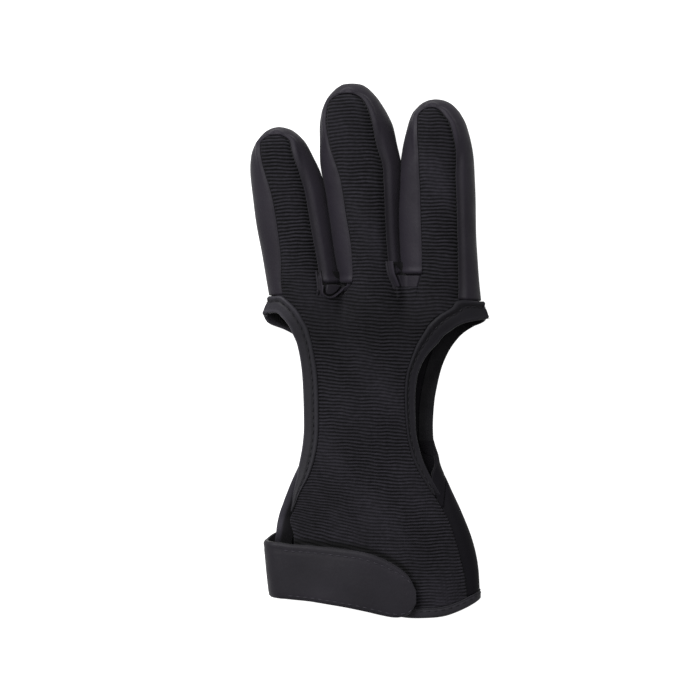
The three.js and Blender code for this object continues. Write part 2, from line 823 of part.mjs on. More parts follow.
// A binding: along the back panel's edge, round the side at the knuckles and down the palm's edge
function makeBinding(side) {
  const isLeft = side < 0;
  const edgeRows = isLeft ? BACK_LEFT : BACK_RIGHT;
  const endAlong = isLeft ? 0.672 : 0.61;
  const startAlong = isLeft ? 0.105 : 0.14;
  const topTurn = isLeft ? topTurnLeft : topTurnRight;
  const stations = [];
  const topRows = BACK_ROWS.filter((row) => row >= startAlong && row <= endAlong).reverse();
  for (const along of topRows) {
    const innerX = xAt(read(edgeRows, 'along', 'across', along)) + side * SEAM_GAP * slant(edgeRows, along);
    const width = BINDING_WIDTH * read(edgeRows, 'along', 'width', along);
    const inner = topTurn(reachAt(along, innerX));
    const outer = topTurn(reachAt(along, innerX + side * (width - SEAM_GAP)));
    stations.push([along, inner, along, outer]);
  }
  for (const row of isLeft ? LEFT_TURN : RIGHT_TURN) {
    const gap = 1.4 * SEAM_GAP * slant(edgeRows, row.innerAlong);
    const edgeX = xAt(read(edgeRows, 'along', 'across', row.innerAlong)) + side * gap;
    const edge = Math.abs(topTurn(reachAt(row.innerAlong, edgeX)));
    const inner = side * Math.min(edge, row.innerTurn);
    stations.push([row.innerAlong, inner, row.outerAlong, side * row.outerTurn]);
  }
  const palmStart = stations.length;
  for (const row of PALM_BINDING_ROWS) {
    const palm = isLeft ? palmLeftTurn(row.inner) : palmRightTurn(row.inner);
    const inner = palm + side * mix(PALM_SEAM_TURN, CURLED_SEAM_TURN, smooth((row.inner - 0.4) / 0.1));
    const edge = floorTurn(reachAt(row.outer, xAt(read(PALM_LEFT, 'along', 'across', row.outer))));
    stations.push([row.inner, inner, row.outer, isLeft ? edge : palmRightEdge(row.outer)]);
  }
  for (const row of isLeft ? PALM_CUFF_ROWS.filter((cuffRow) => cuffRow <= THUMB_BINDING_END) : []) {
    const inner = palmLeftTurn(row) - CURLED_SEAM_TURN;
    const outer = floorTurn(reachAt(row, xAt(read(PALM_LEFT, 'along', 'across', row))));
    const along = rowAlong(row, handPoint(row, inner)[0]);
    stations.push([along, inner, along, outer]);
  }
  const sheet = new Sheet();
  const rows = stations.map(([innerAlong, inner, outerAlong, outer], index) => {
    const places = spread(0, 1, 3).map((place) => [mix(innerAlong, outerAlong, place), mix(inner, outer, place)]);
    const onPalm = index >= palmStart;
    return onPalm ? sheet.handRow(places) : sheet.row(places.map(([along, turn]) => handPoint(along, turn)));
  });
  sheet.fill(isLeft ? rows.reverse() : rows);
  return sheet.body(BINDING_WALL);
}

function makeWeb(leftFinger, rightFinger, split) {
  const sheet = new Sheet();
  const inset = SEAM_GAP * 1.6;
  const leftEdge = mix(backLeftX(0), backRightX(0), KNUCKLE_SPLITS[split]) + inset;
  const rightEdge = mix(backLeftX(0), backRightX(0), KNUCKLE_SPLITS[split + 1]) - inset;
  const leftTop = stripRowPoints(leftFinger, 0, 1)[1][0] + 2 * inset;
  const rightTop = stripRowPoints(rightFinger, 0, 1)[0][0] - 2 * inset;
  const rows = spread(0, 1, 3).map((place) => {
    const left = mix(leftEdge, leftTop, place);
    const right = mix(rightEdge, rightTop, place);
    const along = -mix(inset, WEB_LENGTH - inset, place) / HAND_LENGTH;
    return sheet.row(spread(left, right, 6).map((x) => handTop(x, along)));
  });
  sheet.fill(rows);
  return sheet.body(WEB_WALL);
}

function makeHem() {
  const sheet = new Sheet();
  const rows = spread(0, 1, 2).map((up) => {
    const place = (turn) => {
      const guess = handPoint(0.95, turn);
      return handPoint(hemAlong(guess[0]) - (HEM_WIDTH * up) / HAND_LENGTH, turn);
    };
    const left = topTurnRight(reachAt(0.95, backLeftX(0.95)));
    const end = floorTurn(reachAt(0.95, xAt(read(PALM_LEFT, 'along', 'across', 0.95)) + STRAP_SLANT));
    const floor = HEM_FLOOR_TURNS.filter((turn) => turn > end + 0.05);
    const turns = [...spread(left, 1, HEM_TOP_CELLS), ...floor, end];
    return sheet.row(turns.map(place));
  });
  sheet.fill(rows);
  return sheet.body(HEM_WALL);
}

// The strap's outer face: flat under the palm, round the thumb side, then over the back and the pad
function makeStrap() {
  const sheet = new Sheet();
  const loopX = STRAP_SIDE_X + STRAP_LOOP_REACH;
  const padX = STRAP_END_X - PAD_INSET - PAD_LENGTH;
  const ride = (x) => STRAP_WALL + 2 * SEAM_GAP + PAD_WALL * smooth((x - padX + PAD_RISE) / (0.8 * PAD_RISE));
  const underX = STRAP_SIDE_X + STRAP_UNDER_LENGTH;
  const edges = (share) => [
    read(STRAP_EDGES, 'share', 'upper', share),
    read(STRAP_EDGES, 'share', 'lower', share),
  ];
  const lines = [];
  for (const x of spread(underX, loopX, 4)) lines.push({ x, z: () => 0, share: 0 });
  for (const angle of spread(0, Math.PI, 8).slice(1, -1)) {
    lines.push({
      x: loopX - (loopX - STRAP_SIDE_X) * Math.sin(angle),
      z: (along, lean) => (topHeight(loopX + lean, along) + ride(loopX)) * (1 - Math.cos(angle)) / 2,
      share: 0.05,
    });
  }
  for (const share of [0, 0.08, 0.16, 0.25, 0.34, 0.43, 0.52, 0.61, 0.7, 0.78, 0.84, 0.89, 0.93, 0.965, 0.99, 1]) {
    const x = mix(loopX, STRAP_END_X, share);
    lines.push({ x, z: (along, lean) => topHeight(x + lean, along) + ride(x), share: mix(0.1, 1, share) });
  }
  const rows = lines.map(({ x, z, share }) => {
    const [upper, lower] = edges(share);
    const slanted = STRAP_SLANT * smooth((loopX + STRAP_SLANT_REACH - x) / STRAP_SLANT_REACH);
    return sheet.row(spread(0, 1, 4).map((place) => {
      const along = mix(upper, lower, place);
      const lean = slanted * place;
      return [x + lean, yAt(along, x), z(along, lean)];
    }));
  });
  sheet.fill(rows);
  return sheet.body(STRAP_WALL);
}

function makePad() {
  const sheet = new Sheet();
  const middleX = STRAP_END_X - PAD_INSET - PAD_LENGTH / 2;
  const reach = PAD_WIDTH / 2 / HAND_LENGTH;
  const rows = spread(PAD_ALONG - reach, PAD_ALONG + reach, 2).map((along) => {
    return sheet.row(spread(middleX - PAD_LENGTH / 2, middleX + PAD_LENGTH / 2, 6).map((x) => {
      const [, y, z] = handTop(x, along);
      return [x, y, z + PAD_WALL + SEAM_GAP];
    }));
  });
  sheet.fill(rows.reverse());
  return sheet.body(PAD_WALL);
}

const glove = new THREE.Group();
glove.name = 'archery_glove';
glove.add(finish('back_panel', makeBackPanel(), 0x242328, 0.9));
glove.add(leather('index_stall', makeStall(INDEX)));
glove.add(leather('middle_stall', makeStall(MIDDLE)));
glove.add(leather('ring_stall', makeStall(RING)));
glove.add(leather('palm_panel', makePalm()));
glove.add(leather('thumb_side_binding', makeBinding(-1)));
glove.add(leather('little_finger_side_binding', makeBinding(1)));
glove.add(leather('web_index_middle', makeWeb(INDEX, MIDDLE, 1)));
glove.add(leather('web_middle_ring', makeWeb(MIDDLE, RING, 3)));
glove.add(leather('cuff_hem', makeHem()));
glove.add(leather('wrist_strap', makeStrap()));
glove.add(finish('strap_hook_pad', makePad(), 0x1c1c1f, 0.95));

export default glove;
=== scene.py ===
"""Three-finger archery glove, lying palm down: its looks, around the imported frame.

Lengths are in millimetres until a mesh is made, which turns them into metres.
+X runs to the little finger side, +Y to the fingertips and +Z up out of the back of the hand.
"""
import math

import bpy
import numpy as np
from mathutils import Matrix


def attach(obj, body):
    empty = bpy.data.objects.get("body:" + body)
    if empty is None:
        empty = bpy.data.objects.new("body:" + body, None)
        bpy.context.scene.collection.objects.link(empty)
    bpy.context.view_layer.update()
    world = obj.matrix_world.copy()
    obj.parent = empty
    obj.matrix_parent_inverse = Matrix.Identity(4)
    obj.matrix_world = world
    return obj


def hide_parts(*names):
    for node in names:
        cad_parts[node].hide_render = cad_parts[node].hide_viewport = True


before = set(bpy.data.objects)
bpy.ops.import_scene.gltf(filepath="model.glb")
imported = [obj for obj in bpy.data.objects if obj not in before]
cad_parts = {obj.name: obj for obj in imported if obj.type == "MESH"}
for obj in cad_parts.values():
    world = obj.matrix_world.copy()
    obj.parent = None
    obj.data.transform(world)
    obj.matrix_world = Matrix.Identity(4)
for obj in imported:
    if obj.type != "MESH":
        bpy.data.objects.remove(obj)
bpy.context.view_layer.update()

MM = 0.001

# Sizes of the glove, as in the solids
HAND_LENGTH = 122.5
HAND_HALF_WIDTH = 40.5
HAND_MIDDLE_X = 2.75
KNUCKLE_Y = 20.16
KNUCKLE_SLOPE = 0.025
KNUCKLE_HEIGHT = 18.0
GLOVE_MIDDLE_Z = 0.4 * KNUCKLE_HEIGHT
FINGER_HEIGHT = 17.0
WEB_LENGTH = 5.2
WEB_HEIGHT = 11.5
FABRIC_WALL = 1.3
STALL_WALL = 1.4
PALM_WALL = 1.5
BINDING_WALL = 1.8
BINDING_WIDTH = 6.0
HEM_WALL = 1.8
HEM_WIDTH = 3.8
HEM_ROW = 0.95
HEM_SIDE_TURNS = [1.12, 0.8]
WEB_WALL = 1.4
STRAP_WALL = 1.8
STRAP_UNDER_LENGTH = 22.0
STRAP_SIDE_X = -40.4
STRAP_END_X = 17.9
STRAP_LOOP_X = STRAP_SIDE_X + 6.5
STRAP_LOOP_SHARE = 0.1
STRAP_SLANT = 2.0
STRAP_SLANT_REACH = 20.0
PAD_WALL = 1.1
PAD_LENGTH = 20.0
PAD_WIDTH = 8.5
PAD_INSET = 5.0
PAD_RISE = 22.0
PAD_ALONG = 0.889
CURL_HEIGHT = 6.5
CURL_REACH = 12.0
CURL_START = 0.42
CURL_RISE = 0.16
CURL_END = 0.72
CURL_FADE = 0.1
LIFT_MARGIN = 9.0
LIFT_RUN = 7.0
LIFT_START = 0.69
LIFT_FADE = 0.065
LIFT_GAP = 0.25
FINGER_GAP = 0.3
SEAM_GAP = 0.12

# Form of every cross section
SIDE_SHARE = 0.42
CROWN_POWER = 0.8
FLOOR_POWER = 0.3
FLOOR_FULLNESS = 1.15
KNUCKLE_FADE = 0.11
KNUCKLE_SOFTNESS = 1.6
TIP_ROUND_START = 0.76
TIP_ROUND_POWER = 2.4
DROP_START = 0.64
PRESS_END = 0.6
PRESS_FADE = 0.14
STRIP_ROUND = 0.07
STRIP_ROUND_POWER = 3.4
STATION_STEPS = 9
TURN_GAP = 0.005
TURN_RUN = 60.0
TURN_BACK_LIMIT = 0.6
SLANT_STEP = 0.012
SLANT_LIMIT = 2.1
STRAP_UPPER_SEAM = 0.12
STRAP_LOWER_SEAM = 0.93

# Surface detail
RIB_PITCH = 1.37
RIB_TIGHTENING = 0.00078
RIB_DEPTH = 0.72
WELT_HEIGHT = 0.5
VALLEY_DEPTH = 0.75
VALLEY_REACH = 2.0
WELT_REACH = 1.1
UNDER_TURNS = np.array([0.985, 0.965, 0.93, 0.88, 0.8, 0.7, 0.57, 0.4, 0.2])
BEAD_HEIGHT = 0.55
TUCK_REACH = 2.2
TUCK_DEPTH = 0.8
TUCK_STEPS = np.array([[0.3, 1.0]])
CROTCH_GAP = 0.05
STITCH_LENGTH = 2.0
STITCH_PITCH = 2.9
STITCH_RADIUS = 0.19
STITCH_RINGS = 7
STITCH_SIDES = 6

# Rows and columns of the grids
STRAP_UNDER_ROWS = 20
STRAP_LOOP_ROWS = 28
STRAP_TOP_ROWS = 90
BACK_CELLS = [14, 6, 14, 6, 14]
BACK_ROWS = 500
STRIP_ROWS = 345
PATCH_CELLS = (22, 14)
FLANK_COLUMNS = 26
OVER_COLUMNS = 5
LOW_ROWS = 60
WINDOW_ROWS = 80
TIP_ROWS = 26
PALM_ROWS = 170
PALM_COLUMNS = 120
PALM_SEAM_COLUMN = 121
BINDING_COLUMNS = 22
CUFF_STATIONS = 40
WEB_CELLS = (80, 56)
HEM_ROWS = 14
HEM_COLUMNS = (90, 40, 70)
PAD_CELLS = (12, 40)
TURN_BACK_STEPS = 121

# The photograph's frame: millimetres across its width, and the point at its middle
PHOTO_WIDTH = 268.7
PHOTO_MIDDLE_X = -7.1
PHOTO_MIDDLE_Y = 0.2
LENS = 85.0
SENSOR = 36.0
FLOOR_REACH = 3.0
FLOOR_DROP = 0.2
FLOOR_GREY = 0.25
WORLD_STRENGTH = 0.45

# Lights: name, place and size in metres, power
LIGHTS = [("key", (-0.68, 0.8, 1.08), 0.8, 50), ("top", (0.1, 0.3, 1.4), 0.9, 8)]


def table(names, rows):
    """Columns of a table by name; the first is the one that the others are read by."""
    columns = np.array(rows, float).T
    return dict(zip(names.split(), columns))


# Both sides and the crown of the hand, from the knuckles at 0 to the hem at 1
HAND_SECTIONS = table("along left right crown", [
    (0, -1, 1.004, 1), (0.06, -1.07, 1.066, 1), (0.1, -1.045, 1.02, 0.97),
    (0.15, -0.93, 0.86, 0.92), (0.25, -0.84, 0.69, 0.82), (0.4, -0.81, 0.615, 0.73),
    (0.5, -0.84, 0.605, 0.71), (0.58, -0.92, 0.7, 0.73), (0.66, -0.98, 0.813, 0.77),
    (0.75, -1.01, 0.916, 0.8), (0.85, -1.02, 0.978, 0.82), (1, -1.02, 1, 0.8),
])

# How far along the hem's edge lies, across the hand
HEM_LINE = table("across along", [
    (-1.1, 0.946), (-0.6, 0.947), (-0.34, 0.953), (0.04, 0.975), (0.28, 0.991), (0.51, 0.99),
    (0.65, 0.984), (0.78, 0.97), (0.89, 0.954), (1.1, 0.92),
])

# Edges of the back panel, and how wide the binding beside them is
BACK_LEFT = table("along across width", [
    (0, -0.89, 1), (0.02, -0.812, 1), (0.04, -0.746, 1.05), (0.07, -0.69, 1.1),
    (0.105, -0.633, 1.12), (0.15, -0.596, 0.97), (0.2, -0.567, 0.97), (0.26, -0.544, 0.99),
    (0.4, -0.536, 0.98), (0.455, -0.546, 0.97), (0.5, -0.57, 0.96), (0.54, -0.604, 0.88),
    (0.575, -0.648, 0.68), (0.61, -0.706, 0.46), (0.65, -0.754, 0.24), (0.673, -0.783, 0.12),
    (0.7, -0.808, 0.1), (0.74, -0.775, 0.1), (0.8, -0.775, 0.1), (0.87, -0.812, 0.1),
    (1, -0.85, 0.1),
])

BACK_RIGHT = table("along across width", [
    (0, 0.78, 1), (0.03, 0.686, 1), (0.055, 0.563, 1.1), (0.09, 0.47, 1.2), (0.12, 0.421, 1.4),
    (0.145, 0.374, 1.26), (0.19, 0.324, 0.84), (0.24, 0.279, 0.75), (0.28, 0.27, 0.7),
    (0.33, 0.27, 0.69), (0.38, 0.28, 0.63), (0.435, 0.299, 0.6), (0.475, 0.328, 0.62),
    (0.52, 0.376, 0.62), (0.555, 0.434, 0.58), (0.59, 0.501, 0.55), (0.62, 0.569, 0.44),
    (0.65, 0.626, 0.33), (0.69, 0.691, 0.2), (0.75, 0.752, 0.2), (0.81, 0.801, 0.2),
    (0.87, 0.845, 0.2), (1, 0.88, 0.2),
])

# Free edges of the palm
PALM_LEFT = table("along across", [
    (0, -1.05), (0.07, -1.06), (0.088, -1.02), (0.105, -0.875), (0.125, -0.766), (0.15, -0.719),
    (0.2, -0.691), (0.3, -0.668), (0.42, -0.665), (0.48, -0.685), (0.53, -0.724), (0.575, -0.791),
    (0.615, -0.84), (0.65, -0.879), (0.69, -0.918), (0.78, -0.955), (0.86, -0.965), (1, -0.945),
])

PALM_RIGHT = table("along across", [
    (0, 1.04), (0.052, 1.045), (0.073, 0.975), (0.093, 0.88), (0.112, 0.812), (0.15, 0.724),
    (0.19, 0.663), (0.225, 0.626), (0.275, 0.591), (0.32, 0.568), (0.385, 0.554), (0.435, 0.557),
    (0.47, 0.568), (0.51, 0.6), (0.55, 0.65), (0.62, 0.76), (1, 0.9),
])

# How the bindings turn round the side of the hand at the knuckles
LEFT_TURN = table("inner_along inner_turn outer_along outer_turn", [
    (0.078, 2, 0.084, 1.42), (0.05, 2, 0.068, 1.38), (0.025, 2, 0.058, 1.34),
    (0.003, 2, 0.055, 1.28), (0.003, 1.2, 0.056, 1.17), (0.003, 1.05, 0.06, 1.04),
    (0.003, 0.97, 0.064, 0.98), (0.003, 0.86, 0.068, 0.95),
])

RIGHT_TURN = table("inner_along inner_turn outer_along outer_turn", [
    (0.105, 2, 0.114, 1.54), (0.078, 2, 0.092, 1.5), (0.05, 2, 0.079, 1.46), (0.025, 2, 0.07, 1.4),
    (0.003, 2, 0.063, 1.29), (0.003, 1.22, 0.058, 1.17), (0.003, 1.05, 0.056, 1.04),
    (0.003, 0.97, 0.056, 0.98), (0.003, 0.86, 0.057, 0.95),
])

# Where each binding's rows lie on the palm
PALM_BINDING_ROWS = table("inner outer", [
    (0.003, 0.078), (0.04, 0.092), (0.075, 0.104), (0.11, 0.125), (0.15, 0.153), (0.2, 0.2),
    (0.26, 0.26), (0.33, 0.33), (0.4, 0.4), (0.45, 0.45), (0.5, 0.5), (0.545, 0.545), (0.59, 0.59),
    (0.645, 0.645),
])

# How far the palm's edge has climbed from the floor to the back panel's seam, little finger side
PALM_CLIMB = table("along share", [
    (0.44, 0), (0.475, 0.1), (0.505, 0.36), (0.54, 0.7), (0.57, 0.85), (0.61, 0.95), (0.655, 1),
    (1, 1),
])

LEFT_TOP_RANGE = (0.105, 0.672)
RIGHT_TOP_RANGE = (0.14, 0.61)
THUMB_SIDE_STITCHED = 240
LITTLE_SIDE_STITCHED = 230
PALM_CUFF_START = 0.65
PALM_CUFF_END = 0.80
BACK_TOP_ROWS = np.array([
    0.105, 0.14, 0.18, 0.23, 0.29, 0.36, 0.42, 0.47, 0.52, 0.565, 0.61, 0.645, 0.672,
])

# Edges of the strap, from the thumb side to its rounded end
STRAP_EDGES = table("share upper lower", [
    (0, 0.744, 0.937), (0.1, 0.768, 0.943), (0.3, 0.773, 0.947), (0.5, 0.779, 0.957),
    (0.66, 0.788, 0.97), (0.78, 0.806, 0.982), (0.86, 0.825, 0.987), (0.92, 0.844, 0.983),
    (0.96, 0.864, 0.973), (1, 0.902, 0.943),
])

# Each finger: its axis, then its half width, lean and strip as shares of half its width
INDEX = {
    "node": "index_stall", "base_x": -24.22, "tip_x": -34.22, "tip_y": 85.8, "width": 28.4,
    "crotch_left": 0.0, "crotch_right": 1.0, "strip_end": 0.945,
    "press_left": 0.0, "press_right": 0.55,
    "sections": table("share half lean", [
        (0, 1, 0), (0.22, 0.985, -0.03), (0.47, 1, -0.03), (0.71, 0.98, -0.03), (0.83, 0.84, -0.07),
        (0.9, 0.7, -0.05), (0.935, 0.58, -0.03), (0.953, 0.5, -0.02), (0.97, 0.41, -0.01),
        (0.982, 0.32, 0), (0.994, 0.17, 0), (1, 0, 0),
    ]),
    "strip": table("share left right", [
        (0, -0.62, 0.44), (0.08, -0.6, 0.45), (0.22, -0.49, 0.5), (0.4, -0.45, 0.475),
        (0.58, -0.47, 0.45), (0.76, -0.6, 0.4), (0.86, -0.7, 0.41), (0.91, -0.8, 0.44),
        (1, -0.8, 0.44),
    ]),
}

MIDDLE = {
    "node": "middle_stall", "base_x": 2.1, "tip_x": -6.3, "tip_y": 102.2, "width": 29.8,
    "crotch_left": 1.0, "crotch_right": 1.8, "strip_end": 0.948,
    "press_left": 0.55, "press_right": 0.95,
    "sections": table("share half lean", [
        (0, 0.78, 0), (0.175, 0.82, -0.06), (0.38, 0.89, -0.05), (0.57, 0.98, -0.01), (0.69, 1, 0),
        (0.8, 0.955, 0), (0.86, 0.86, -0.02), (0.89, 0.79, -0.03), (0.937, 0.645, -0.03),
        (0.974, 0.455, -0.01), (0.988, 0.34, 0), (0.997, 0.22, 0), (1, 0, 0),
    ]),
    "strip": table("share left right", [
        (0, -0.75, 0.68), (0.06, -0.66, 0.66), (0.14, -0.54, 0.61), (0.25, -0.47, 0.62),
        (0.39, -0.51, 0.6), (0.54, -0.555, 0.56), (0.61, -0.63, 0.55), (0.7, -0.76, 0.47),
        (0.8, -0.84, 0.445), (0.865, -0.86, 0.45), (0.905, -0.88, 0.42), (1, -0.88, 0.38),
    ]),
}

RING = {
    "node": "ring_stall", "base_x": 28.32, "tip_x": 25.82, "tip_y": 96.4, "width": 30.0,
    "crotch_left": 1.8, "crotch_right": 0.0, "strip_end": 0.952,
    "press_left": 0.85, "press_right": 0.0,
    "sections": table("share half lean", [
        (0, 1, 0), (0.19, 1, -0.04), (0.41, 1, -0.06), (0.59, 0.96, -0.01), (0.745, 0.91, 0.01),
        (0.867, 0.765, 0.02), (0.93, 0.62, 0), (0.962, 0.48, 0), (0.977, 0.39, 0), (0.987, 0.3, 0),
        (0.996, 0.17, 0), (1, 0, 0),
    ]),
    "strip": table("share left right", [
        (0, -0.66, 0.4), (0.06, -0.55, 0.44), (0.19, -0.45, 0.48), (0.42, -0.416, 0.51),
        (0.6, -0.49, 0.48), (0.72, -0.57, 0.5), (0.78, -0.62, 0.47), (0.87, -0.71, 0.39),
        (0.915, -0.76, 0.26), (1, -0.76, 0.22),
    ]),
}

FINGERS = [INDEX, MIDDLE, RING]
KNUCKLE_SPLITS = [0, 0.217, 0.336, 0.662, 0.754, 1]
RIB_LEANS = [-0.07, -0.03, 0.05]
FLANK_ROUNDING = 0.3
FLANK_POWER = 1.35
UNDER_WEB_SHARES = [-0.02, -0.004]
WINDOW_START = 0.7
TIP_POWER = 1.6
INDEX_WEB_START = -1.4
WEB_BELOW = 1.0
WEB_ABOVE = 4.5
RING_WEB_START = 4.4
RING_WEB_END = 1.8 * WEB_LENGTH


def mix(start, end, share):
    return start + (end - start) * share


def smooth(share):
    held = np.clip(share, 0.0, 1.0)
    return held * held * (3 - 2 * held)


def bell(distance, reach):
    return np.exp(-(distance / reach) ** 2)


def unit(vectors):
    return vectors / np.maximum(np.linalg.norm(vectors, axis=-1, keepdims=True), 1e-9)


def hermite(start, end, start_slope, end_slope, share):
    """A smooth curve from start to end, with a given slope at each."""
    square = share * share
    cube = square * share
    return (
        (2 * cube - 3 * square + 1) * start
        + (cube - 2 * square + share) * start_slope
        + (3 * square - 2 * cube) * end
        + (cube - square) * end_slope
    )


def read(rows, column, place):
    """One column of a table at a place, on a smooth curve through its rows."""
    keys = next(iter(rows.values()))
    values = rows[column]
    held = np.clip(place, keys[0], keys[-1])
    index = np.clip(np.searchsorted(keys, held, side="right") - 1, 0, len(keys) - 2)
    before = np.maximum(np.arange(len(keys)) - 1, 0)
    after = np.minimum(np.arange(len(keys)) + 1, len(keys) - 1)
    slopes = (values[after] - values[before]) / (keys[after] - keys[before])
    step = keys[index + 1] - keys[index]
    ends = values[index], values[index + 1]
    return hermite(*ends, step * slopes[index], step * slopes[index + 1], (held - keys[index]) / step)


def floor_turn(reach):
    """A turn runs round a section: 0 under the palm, 1 at the right side, 2 on top, -1 at the left."""
    return (2 / math.pi) * np.arcsin(np.clip(reach, -1, 1))


def top_turn_right(reach):
    return 2 - floor_turn(reach)


def top_turn_left(reach):
    return top_turn_right(reach) - 4


def crown_height(side, crown, reach):
    return mix(side, crown, np.maximum(1 - np.clip(reach, -1, 1) ** 2, 0) ** (CROWN_POWER / 2))


def floor_height(side, low, lean):
    return mix(side, low, np.minimum(1, FLOOR_FULLNESS * np.maximum(lean, 0) ** FLOOR_POWER))


def finger_section(finger, share):
    half_width = finger["width"] / 2
    lean = read(finger["sections"], "lean", share) * half_width
    half = np.maximum(read(finger["sections"], "half", share) * half_width - FINGER_GAP / 2, 0.15)
    to_tip = np.clip((share - TIP_ROUND_START) / (1 - TIP_ROUND_START), 0, 0.9995)
    rounding = np.sqrt(1 - to_tip ** TIP_ROUND_POWER)
    side = FINGER_HEIGHT * SIDE_SHARE
    pressed = 1 - smooth((share - PRESS_END) / PRESS_FADE)
    left_press = finger["press_left"] * pressed
    right_press = finger["press_right"] * pressed
    half = half + (left_press + right_press) / 2
    middle = mix(finger["base_x"], finger["tip_x"], share) + lean + (right_press - left_press) / 2
    return middle, half, side, side * (1 - rounding), mix(side, FINGER_HEIGHT, rounding)


def finger_length(finger):
    return finger["tip_y"] - KNUCKLE_Y


def finger_point(finger, share, turn):
    middle, half, side, low, crown = finger_section(finger, share)
    angle = math.pi * turn / 2
    lean = np.cos(angle)
    reach = np.sin(angle)
    x = middle + half * reach
    base_y = KNUCKLE_Y - KNUCKLE_SLOPE * finger["base_x"] + SEAM_GAP
    y = mix(base_y, finger["tip_y"], share) - KNUCKLE_SLOPE * (x - middle) * (1 - share)
    z = np.where(lean >= 0, floor_height(side, low, lean), crown_height(side, crown, reach))
    return np.stack([x, y, z], axis=-1)


def x_at(across):
    return HAND_MIDDLE_X + across * HAND_HALF_WIDTH


def y_at(along, x):
    return KNUCKLE_Y - along * HAND_LENGTH - KNUCKLE_SLOPE * x


def hand_section(along):
    left = x_at(read(HAND_SECTIONS, "left", along))
    right = x_at(read(HAND_SECTIONS, "right", along))
    crown = KNUCKLE_HEIGHT * read(HAND_SECTIONS, "crown", along)
    return (left + right) / 2, (right - left) / 2, crown * SIDE_SHARE, crown


def strap_lift(along, x):
    """How far the palm lies on the strap that is sewn on under it."""
    inner_x = STRAP_SIDE_X + STRAP_UNDER_LENGTH
    across = smooth((inner_x + LIFT_MARGIN - x) / LIFT_RUN)
    down = smooth((along - LIFT_START) / LIFT_FADE)
    return (STRAP_WALL + LIFT_GAP) * across * down


def thumb_curl(along, x):
    """How far the palm's free edge curls up between the binding's end and the strap."""
    edge = edge_x(PALM_LEFT, along)
    near = smooth((edge + CURL_REACH - x) / CURL_REACH)
    start = smooth((along - CURL_START) / CURL_RISE)
    end = 1 - smooth((along - CURL_END) / CURL_FADE)
    return CURL_HEIGHT * near * start * end


def top_height(x, along):
    middle, half, side, crown = hand_section(along)
    arch = crown_height(side, crown, (x - middle) / half)
    bumps = math.exp(WEB_HEIGHT / KNUCKLE_SOFTNESS)
    for finger in FINGERS:
        base_middle, base_half, base_side, _, base_crown = finger_section(finger, 0.0)
        knuckle = crown_height(base_side, base_crown, (x - base_middle) / base_half)
        bumps = bumps + np.exp(knuckle / KNUCKLE_SOFTNESS)
    bumps = KNUCKLE_SOFTNESS * np.log(bumps)
    return mix(bumps, arch, smooth(along / KNUCKLE_FADE))


def hand_top(x, along):
    x = np.asarray(x, float)
    along = np.broadcast_to(np.asarray(along, float), x.shape)
    return np.stack([x, y_at(along, x), top_height(x, along)], axis=-1)


def hand_point(along, turn):
    middle, half, side, _ = hand_section(along)
    angle = math.pi * turn / 2
    lean = np.cos(angle)
    x = middle + half * np.sin(angle)
    low = strap_lift(along, x) + thumb_curl(along, x)
    z = np.where(lean < 0, top_height(x, along), floor_height(np.maximum(side, low), low, lean))
    return np.stack([x, y_at(along, x), z], axis=-1)


def reach_at(along, x):
    middle, half, _, _ = hand_section(along)
    return (x - middle) / half


def hem_along(x):
    return read(HEM_LINE, "along", (x - HAND_MIDDLE_X) / HAND_HALF_WIDTH)


def panel_end_along(x):
    return hem_along(x) - (HEM_WIDTH + SEAM_GAP) / HAND_LENGTH


def row_along(row, x):
    """Rows run straight across the hand, and near the cuff they bend to follow the hem."""
    end = panel_end_along(HAND_MIDDLE_X)
    return row + (panel_end_along(x) - end) * smooth((row - DROP_START) / (end - DROP_START))


def edge_x(rows, along):
    return x_at(read(rows, "across", along))


def slant(rows, along):
    """How much wider a band beside an edge is, measured straight across the hand."""
    run = edge_x(rows, along + SLANT_STEP) - edge_x(rows, along - SLANT_STEP)
    return np.minimum(np.hypot(1, run / (2 * SLANT_STEP * HAND_LENGTH)), SLANT_LIMIT)


def edge_reach(rows, along, beside=0.0):
    """Where an edge lies across its section, or a line at some distance beside it."""
    return reach_at(along, edge_x(rows, along) + beside)


def palm_left_turn(along):
    return floor_turn(edge_reach(PALM_LEFT, along, BINDING_WIDTH * slant(PALM_LEFT, along)))


def palm_right_edge(along):
    """Turn of the palm's free edge, which climbs the side until it meets the back panel."""
    floor = floor_turn(edge_reach(PALM_RIGHT, along))
    seam = top_turn_right(edge_reach(BACK_RIGHT, along, SEAM_GAP))
    return mix(floor, seam, read(PALM_CLIMB, "share", along))


def turn_back(along, turn, length):
    """The turn that lies a length back round the section from another."""
    steps = turn[..., None] - np.linspace(0, TURN_BACK_LIMIT, TURN_BACK_STEPS)
    points = hand_point(np.asarray(along)[..., None] + 0 * steps, steps)
    pace = np.linalg.norm(np.diff(points[..., [0, 2]], axis=-2), axis=-1)
    run = np.concatenate([np.zeros(pace.shape[:-1] + (1,)), np.cumsum(pace, axis=-1)], axis=-1)
    reached = np.argmax(run >= np.asarray(length)[..., None], axis=-1)
    return np.take_along_axis(steps, reached[..., None], axis=-1)[..., 0]


def palm_right_turn(along):
    """Turn of the seam between the palm and its binding, and past the binding of the palm's edge."""
    floor = floor_turn(edge_reach(PALM_RIGHT, along, -BINDING_WIDTH * slant(PALM_RIGHT, along)))
    width = BINDING_WIDTH * (1 - smooth((along - 0.56) / 0.11))
    climbed = turn_back(along, palm_right_edge(along), width)
    return mix(floor, climbed, smooth((along - 0.43) / 0.05))


def draw_back(finger, turn):
    """How far up a stall's flank starts beside its web, as a share of the finger's length."""
    upper = smooth((np.abs(turn) - 0.75) / 0.22)
    right = (turn > 0) | (turn < -2)
    crotch = np.where(right, finger["crotch_right"], finger["crotch_left"])
    rounded = 1 + FLANK_ROUNDING * bell(np.abs(turn) - 1, 0.14)
    return upper * crotch * rounded * WEB_LENGTH / finger_length(finger)


